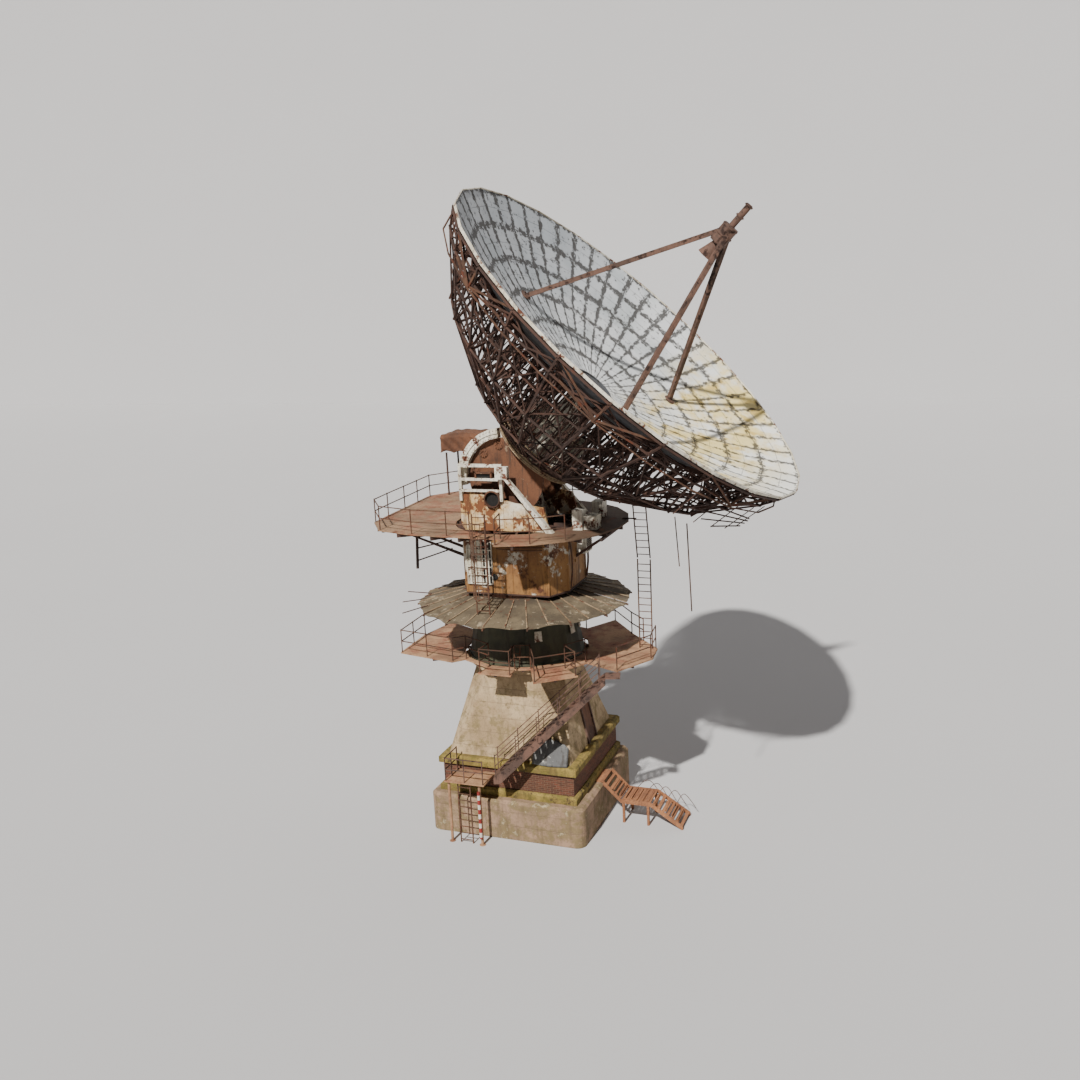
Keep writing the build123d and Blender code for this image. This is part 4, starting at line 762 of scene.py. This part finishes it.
class DISH_OT_head(bpy.types.Operator):
    """Add the cheek rosettes, arch bolts, side port, opening, cabinet fins and casing ribs"""

    bl_idname = "dish.head"
    bl_label = "Head"
    bl_options = {"REGISTER", "UNDO"}

    def mounts(self):
        """Rosettes in a circle on both cheeks, and bolts and a raised line on both arches."""
        rosettes = Shape()
        flanges = Shape()
        cheek_face, arch_face = 1.40, 1.65
        for side in (-1, 1):
            axes = np.array([[1, 0, 0], [0, 0, 1], [0, side, 0]])
            for angle in range(100, 330, 33):
                turn = radians(angle)
                place = AXIS + points(1.36 * cos(turn), side * cheek_face, 1.36 * sin(turn))
                washer = [(0.08, 0), (0.20, 0), (0.20, 0.035), (0.08, 0.05)]
                rosettes.add(*ring(place, axes, washer, 20))
                seats = place + around(0.14, clock(8), 0.03) @ axes
                rosettes.add(*prisms(seats, seats + axes[2] * 0.045, circle(0.025, 6)))
            turn = np.radians(np.arange(96, 190, 4.5))
            for radius in (1.72, 1.99):
                seats = AXIS + points(radius * np.cos(turn), side * arch_face, radius * np.sin(turn))
                flanges.add(*prisms(seats, seats + axes[2] * 0.035, circle(0.03, 6)))
            line = [(1.83, 0), (1.89, 0), (1.88, 0.04), (1.84, 0.04)]
            flanges.add(*ring(AXIS + [0, side * (arch_face + 0.005), 0], axes, line, 40, radians(95),
                              radians(95)))
        rosettes.piece("cheek_rosettes", "cheek", "dish", "rusty_steel")
        flanges.piece("arch_bolts", "white", "dish", "white_paint")

    def side_port(self, front):
        """A round port with a bolted rim, and a framed rectangular opening above it; near-black sheets inside
        both are painted shade.
        """
        port = np.array([-0.42, front, 14.28])
        wall = [(0.30, 0), (0.38, 0), (0.38, 0.10), (0.34, 0.16), (0.30, 0.16)]
        rim = Shape().add(*ring(port, FRONT_AXES, wall, 36))
        seats = port + around(0.44, clock(12)) @ FRONT_AXES
        rim.add(*prisms(seats, seats + FRONT_AXES[2] * 0.03, circle(0.022, 6)))
        left, right, bottom, top = -1.10, -0.42, 14.98, 15.36
        edge = points([left, right, right, left], front - 0.06, [bottom, bottom, top, top])
        rim.add(*prisms(edge, np.roll(edge, -1, axis=0), rectangle(0.07, 0.12), (0, 1, 0)))
        rim.piece("side_port_rim", "cheek", "turret", "rusty_steel")
        # painted shade: a near-black disc inside the port and a near-black sheet in the opening stand in for
        # the dark hollows
        disc = [(0.001, 0.01), (0.31, 0.01), (0.31, 0.03), (0.001, 0.02)]
        hollow = Shape().add(*ring(port, FRONT_AXES, disc, 36))
        hollow.add(*panel_box((left, front - 0.04, bottom), (right, front - 0.01, top), edge=0.005))
        hollow.piece("side_port_hollow", "void", "turret", "white_paint")

    def execute(self, context):
        self.mounts()
        front = corners("side_casings")[0][1]
        self.side_port(front)
        levels = np.linspace(11.75, 12.35, 9)
        vent_face = 2.86
        fins = Shape().add(*prisms(points(vent_face, 0.16, levels), points(vent_face, 0.80, levels),
                                   rectangle(0.03, 0.02)))
        fins.piece("cabinet_fins", "lattice", "turret", "white_paint")
        x = np.linspace(-1.7, 1.7, 9)
        rib_face = front - 0.015
        ribs = Shape().add(*prisms(points(x, rib_face, 13.05), points(x, rib_face, 13.9),
                                   rectangle(0.04, 0.03)))
        ribs.piece("casing_ribs", "casing", "turret", "white_paint")
        return {"FINISHED"}


class DISH_OT_cabin(bpy.types.Operator):
    """Add the cabin's barred panel, pipes, seams and small port, and the cage of its ladder"""

    bl_idname = "dish.cabin"
    bl_label = "Cabin"
    bl_options = {"REGISTER", "UNDO"}

    def barred_panel(self, front, count):
        """Upright slats crossed by rails over a sheet, with a dark gap and a small port beside it; both are
        near-black sheets of painted shade.
        """
        left, right, bottom, top = BARRED_PANEL
        sheet_right = right - 0.45
        x = np.linspace(left, right, count)
        bars = Shape().add(*prisms(points(x, front - 0.05, bottom), points(x, front - 0.05, top),
                                   rectangle(0.045, 0.05)))
        levels = np.linspace(bottom, top, 6)
        bars.add(*prisms(points(left, front - 0.08, levels), points(right, front - 0.08, levels),
                         rectangle(0.05, 0.04)))
        bars.add(*panel_box((left - 0.05, front - 0.03, bottom - 0.05),
                            (sheet_right, front - 0.005, top + 0.05), edge=0.006))
        bars.piece("barred_panel", "white", "turret", "cabin_sheet")
        # painted shade: a near-black sheet fills the gap and a near-black disc stands in for the small port's
        # hollow
        hollow = Shape().add(*panel_box((sheet_right, front - 0.02, bottom), (right, front - 0.004, top),
                                        edge=0.004))
        disc = [(0.001, 0), (0.13, 0), (0.13, 0.03), (0.001, 0.02)]
        hollow.add(*ring((right + 0.1, front - 0.02, 11.05), FRONT_AXES, disc, 24))
        hollow.piece("barred_panel_hollow", "void", "turret", "cabin_sheet")

    def pipes(self, front, side):
        """Side pipes bow out by half a sine as they rise; front pipes sag by half a sine along their run."""
        pipes = Shape()
        rise = np.linspace(0, 1, 24)
        for k, y in enumerate((-1.02, 0.98, 1.05)):
            bend = 0.10 * np.sin(rise * pi)
            pipes.add(*tube(points(side + 0.06 + bend, y, 10.45 + rise * (2.1 - 0.2 * k)), 0.032))
        run = np.linspace(BARRED_PANEL[1] + 0.25, 1.75, 20)
        sag = 0.04 * np.sin(np.linspace(0, pi, 20))
        for k in range(3):
            pipes.add(*tube(points(run, front - 0.05 - 0.03 * k, 12.5 - 0.11 * k - sag), 0.02))
        pipes.piece("cabin_pipes", "rust", "turret", "cabin_sheet")

    def seams(self, front):
        """Cover strips over the sheets' joints, each with a row of rivets."""
        x = np.linspace(-0.35, 1.75, 4)
        seams = Shape().add(*prisms(points(x, front - 0.012, 10.42), points(x, front - 0.012, 12.65),
                                    rectangle(0.06, 0.02)))
        levels = np.arange(10.5, 12.6, 0.14)
        for column in x:
            seats = points(column, front - 0.02, levels)
            seams.add(*prisms(seats, seats - [0, 0.02, 0], circle(0.014, 6)))
        seams.piece("cabin_seams", "cabin", "turret", "cabin_sheet")

    def ladder_cage(self):
        """Half hoops in front of the ladder, joined by upright straps."""
        low, high = corners("cabin_ladder")
        middle = (low[0] + high[0]) / 2
        turn = np.linspace(pi, 2 * pi, 17)
        x, y = middle + 0.34 * np.cos(turn), low[1] + 0.36 * np.sin(turn)
        cage = Shape()
        for level in np.arange(10.6, 13.9, 0.62):
            cage.add(*tube(points(x, y, level), 0.013, 6))
        starts = points(x[2:-2:3], y[2:-2:3], 10.6)
        cage.add(*prisms(starts, starts + [0, 0, 3.1], rectangle(0.03, 0.008)))
        cage.piece("ladder_cage", "rust", "turret", "rusty_steel")

    def execute(self, context):
        low, high = corners("cabin_wall_panels")
        self.barred_panel(low[1], context.scene.cabin_settings.slats)
        self.pipes(low[1], high[0])
        self.seams(low[1])
        self.ladder_cage()
        return {"FINISHED"}


class DISH_OT_skirt(bpy.types.Operator):
    """Build the warped skirt sheets with their battens, and the bars that poke out"""

    bl_idname = "dish.skirt"
    bl_label = "Skirt"
    bl_options = {"REGISTER", "UNDO"}

    def execute(self, context):
        """A sheet's height falls evenly with the radius, plus w sin(2 pi u + p) v^2 across its own width."""
        warp = context.scene.cabin_settings.skirt_warp
        rng = np.random.default_rng(SEED + 1)
        step = 2 * pi / SKIRT_SIDES
        sheets = Shape()
        u, v = np.meshgrid(np.linspace(0.004, 0.996, 9), np.linspace(0, 1, 12))
        for side in range(SKIRT_SIDES):
            phase = rng.uniform(0, 2 * pi)
            bend = rng.uniform(0.3, 1.0) * warp
            ragged = v ** 6 * 0.05 * np.abs(np.sin(u * 9 + phase))
            radius = SKIRT_INNER + (SKIRT_OUTER - SKIRT_INNER) * v - ragged
            reach = radius * cos(step / 2) / np.cos((u - 0.5) * step)
            level = 10.185 - 0.56 * v + bend * np.sin(2 * pi * u + phase) * v ** 2
            sheets.add(*skin(around(reach, (side + u) * step, level)))
        sheets.piece("skirt_sheets", "skirt", "turret", "skirt_sheet", ["skirt_panels"],
                     thickness=0.014)
        odd = np.arange(2 * SKIRT_SIDES) % 2
        turn = np.arange(2 * SKIRT_SIDES) * step / 2
        battens = Shape().add(*prisms(around(2.4, turn, 10.175),
                                      around(4.55 * np.where(odd, cos(step / 2), 1), turn, 9.665),
                                      rectangle(0.045, 0.03)))
        battens.piece("skirt_battens", "hub", "turret", "skirt_sheet")
        poke = np.radians([188, 199, 214])
        bars = Shape().add(*prisms(around(4.2, poke, 9.72), around(5.3, poke, [9.78, 9.6, 9.5]),
                                   rectangle(0.035, 0.035)))
        bars.piece("skirt_loose_bars", "lattice", "turret", "rusty_steel")
        return {"FINISHED"}


class DISH_OT_canopy(bpy.types.Operator):
    """Build the crumpled canopy sheet over its posts, and the pole under the deck's left wing"""

    bl_idname = "dish.canopy"
    bl_label = "Canopy"
    bl_options = {"REGISTER", "UNDO"}

    def execute(self, context):
        """The profile runs up the front and over the top; folds are sums of sines across the sheet."""
        low, high = corners("canopy_roof")
        fold = context.scene.cabin_settings.canopy_crumple
        u, v = np.meshgrid(np.linspace(0, 1, 60), np.linspace(0, 1, 44))
        room = fold * 1.2
        bends = [0, 0.42, 0.55, 1]
        rise = np.interp(v, bends, [0, 0.80, 0.94, 1.0])
        depth = np.interp(v, bends, [0, 0.02, 0.16, 1.0])
        crease = np.sin(u * 17 + v * 5) * np.sin(u * 6.3 + 1) + 0.5 * np.sin(u * 31 + v * 23)
        notch = 0.10 * np.abs(np.sin(u * 12)) * (v < 0.05)
        x = low[0] + room + u * (high[0] - low[0] - 2 * room) + fold * 0.3 * np.sin(v * 9)
        y = low[1] + room + depth * (high[1] - low[1] - 2 * room) + fold * 0.5 * crease
        slope = (high[2] - low[2] - 2 * room) * (0.80 + 0.20 * np.sin(u * 2.6 + 0.4))
        z = low[2] + 0.02 + rise * slope + fold * 0.4 * crease * v + notch
        sheet = Shape().add(*skin(points(x, y, z)))
        sheet.piece("canopy_sheet", "canopy", "turret", "rusty_steel", ["canopy_roof"],
                    smooth=True, thickness=0.02)
        foot = np.array([-4.6, -0.9, 10.9])
        pole = Shape().add(*prisms([foot], [foot + [0.05, 0.1, 1.9]], rectangle(0.09, 0.09)))
        levels = np.array([0.35, 0.9, 1.4])
        starts = foot + points(0, 0, levels)
        ends = foot + points(1.5, 0.5, 0.6 + levels * 0.7)
        pole.add(*prisms(starts, ends, rectangle(0.05, 0.05)))
        pole.piece("wing_pole", "lattice", "turret", "rusty_steel")
        return {"FINISHED"}


class DISH_OT_base(bpy.types.Operator):
    """Add the leaning sheet, door frame, drum fittings, banded post and the ramp's cleats and rods"""

    bl_idname = "dish.base"
    bl_label = "Base"
    bl_options = {"REGISTER", "UNDO"}

    def leaning_sheet(self, ledge):
        """The sheet leans back as it rises, bows up by half a sine along its run and ripples at its top."""
        u, v = np.meshgrid(np.linspace(0, 1, 24), np.linspace(0, 1, 16))
        bow = 0.30 * np.sin(pi * u)
        y = -2.98 + 0.30 * v - bow * (1 - v) * 0.3
        z = ledge + 0.01 + v * (0.75 + bow) + 0.03 * np.sin(u * 30) * v
        sheet = Shape().add(*skin(points(1.15 + 1.55 * u, y, z)))
        sheet.piece("leaning_sheet", "zinc", "base", "white_paint", smooth=True, thickness=0.008)

    def tower_door(self, ledge):
        """A frame and a leaf that follow the lean of the tower's right face."""
        lean = (2.75 - 1.95) / 3.78
        y = np.array([-0.35, -0.35, 0.65, 0.65])
        rise = np.array([0, 2.0, 2.0, 0])
        spots = points(2.78 - rise * lean, y, ledge + rise)
        frames = Shape().add(*prisms(spots[:-1], spots[1:], rectangle(0.10, 0.09)))
        frames.piece("tower_door_frame", "pink", "base", "rusty_steel")
        leaf = Shape().add(spots - [0.02, 0, 0], [np.array([[0, 1, 2, 3]])])
        leaf.piece("tower_door_leaf", "cheek", "base", "rusty_steel", thickness=0.02)

    def drum_fittings(self):
        """A short ladder at the drum's door, and a band around the drum's foot and its top."""
        low, high = corners("drum_door")
        foot = np.array([(low[0] + high[0]) / 2, low[1] - 0.16, 7.30])
        steps = Shape()
        for offset in (-0.2, 0.2):
            start = foot + [offset, 0, 0]
            steps.add(*prisms([start], [start + [0, 0.18, 0.95]], rectangle(0.035, 0.035)))
        rungs = foot + np.linspace(0.12, 0.9, 4)[:, None] * [0, 0.19, 1]
        steps.add(*prisms(rungs - [0.2, 0, 0], rungs + [0.2, 0, 0], circle(0.014, 6)))
        steps.piece("drum_door_steps", "rust", "base", "rusty_steel")
        hoops = Shape()
        for level in (7.32, 8.95):
            radius = 2.5 - (level - 7.25) * 0.35 / 1.95 + 0.025
            hoops.add(*ring((0, 0, level), np.eye(3), [(radius - 0.03, -0.04), (radius, -0.04),
                                                       (radius, 0.04), (radius - 0.03, 0.04)], 16))
        hoops.piece("drum_bands", "drum", "base", "dark_green_paint")

    def ramp_fittings(self):
        """Cleats across the ramp's boards, and rods that arch by half a sine beside its foot."""
        low, high = corners("ramp_boards")
        x = np.linspace(low[0] + 0.55, high[0] - 0.25, 13)
        z = np.interp(x, [3.47, 4.25, 5.55, 6.95], [1.72, 1.06, 0.98, 0.14]) + 0.055
        cleats = Shape().add(*prisms(points(x, low[1] + 0.12, z), points(x, high[1] - 0.12, z),
                                     rectangle(0.05, 0.04)))
        cleats.piece("ramp_cleats", "wood", "base", "ramp_wood")
        rods = Shape()
        t = np.linspace(0, 1, 22)
        for k in range(5):
            lift = 0.50 + 0.10 * k
            rods.add(*tube(points(4.6 + 0.42 * k + 0.9 * t, 0.66 + 0.10 * np.sin(pi * t * (1 + 0.3 * k)),
                                  1.02 - 0.17 * k + lift * np.sin(pi * t) * 0.7), 0.014, 6))
        rods.piece("ramp_bent_rods", "rust", "base", "rusty_steel")

    def execute(self, context):
        ledge = corners("plinth_cornices")[1][2]
        self.leaning_sheet(ledge)
        self.tower_door(ledge)
        self.drum_fittings()
        low, high = corners("stair_landing")
        sleeve = [(0.052, 0.35), (0.062, 0.35), (0.062, 2.45), (0.052, 2.45)]
        post = Shape().add(*ring((high[0] - 0.3, low[1] + 0.09, 0.0), np.eye(3), sleeve, 16))
        post.piece("banded_post_sleeve", "striped", "base", "rusty_steel")
        self.ramp_fittings()
        return {"FINISHED"}


class DISH_OT_stage(bpy.types.Operator):
    """Set the floor, backdrop, light and camera"""

    bl_idname = "dish.stage"
    bl_label = "Stage"
    bl_options = {"REGISTER", "UNDO"}

    def backdrop(self, name, outline, material):
        mesh = bpy.data.meshes.new(name)
        mesh.from_pydata(outline, [], [(0, 1, 2, 3)])
        mesh.materials.append(material)
        made = bpy.data.objects.new(name, mesh)
        bpy.context.scene.collection.objects.link(made)

    def execute(self, context):
        settings = context.scene.stage_settings
        s = Shader("studio_grey")
        speck = s.noise(0.05, 2.0)
        grey = s.mix(speck, (0.47, 0.465, 0.47), (0.49, 0.485, 0.49))
        floor = s.finish(grey, 0.95, speck, 0.001, strength=0.05)
        x, near, far, top = 400, -200, 160, 300
        self.backdrop("studio_floor", [(-x, near, 0), (x, near, 0), (x, far, 0), (-x, far, 0)], floor)
        self.backdrop("studio_wall", [(-x, far, 0), (x, far, 0), (x, far, top), (-x, far, top)], floor)
        world = bpy.data.worlds.new("studio_world")
        world.use_nodes = True
        sky = world.node_tree.nodes["Background"]
        sky.inputs[0].default_value = (0.97, 0.96, 1.0, 1)
        sky.inputs[1].default_value = settings.ambient
        context.scene.world = world
        lamp = bpy.data.lights.new("key_light", "SUN")
        lamp.energy = settings.sun_strength
        lamp.angle = settings.sun_angle
        lamp.color = (1.0, 0.975, 0.93)
        key = bpy.data.objects.new("key_light", lamp)
        to_light = np.array([-0.04, -0.71, 0.70])
        side = unit(np.cross((0, 0, 1.0), to_light))
        turn = np.column_stack([side, np.cross(to_light, side), to_light])
        key.matrix_world = Matrix(turn.tolist()).to_4x4()
        context.scene.collection.objects.link(key)
        lens = bpy.data.cameras.new("view_camera")
        lens.lens = 37.29
        lens.sensor_width = 36
        lens.clip_end = 2000
        camera = bpy.data.objects.new("view_camera", lens)
        right = (0.9341, 0.3540, -0.0468)
        up = (-0.0374, 0.2274, 0.9731)
        back = (0.3551, -0.9072, 0.2256)
        turn = Matrix(np.column_stack([right, up, back]).tolist()).to_quaternion().to_matrix()
        camera.matrix_world = Matrix.Translation((17.612, -42.903, 22.844)) @ turn.to_4x4()
        context.scene.collection.objects.link(camera)
        context.scene.camera = camera
        return {"FINISHED"}


class DISH_PT_sidebar(bpy.types.Panel):
    """Sidebar panel with every step and setting"""

    bl_idname = "DISH_PT_sidebar"
    bl_label = "Tracking Dish"
    bl_space_type = "VIEW_3D"
    bl_region_type = "UI"
    bl_category = "Dish"

    def draw(self, context):
        for group in ("dish_settings", "cabin_settings", "stage_settings"):
            settings = getattr(context.scene, group)
            for name in settings.bl_rna.properties.keys():
                if name not in ("rna_type", "name"):
                    self.layout.prop(settings, name)
        for step in STEPS:
            self.layout.operator(step.bl_idname)


SETTINGS = {"dish_settings": DishSettings, "cabin_settings": CabinSettings, "stage_settings": StageSettings}
STEPS = (DISH_OT_finishes, DISH_OT_reflector, DISH_OT_lattice, DISH_OT_hub, DISH_OT_head, DISH_OT_cabin,
         DISH_OT_skirt, DISH_OT_canopy, DISH_OT_base, DISH_OT_stage)


def register():
    for cls in (*SETTINGS.values(), *STEPS, DISH_PT_sidebar):
        bpy.utils.register_class(cls)
    for name, cls in SETTINGS.items():
        setattr(bpy.types.Scene, name, PointerProperty(type=cls))


def unregister():
    for name in SETTINGS:
        delattr(bpy.types.Scene, name)
    for cls in reversed((*SETTINGS.values(), *STEPS, DISH_PT_sidebar)):
        bpy.utils.unregister_class(cls)


def main():
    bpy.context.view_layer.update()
    register()
    for step in STEPS:
        group, name = step.bl_idname.split(".")
        getattr(getattr(bpy.ops, group), name)()


if __name__ == "__main__":
    main()
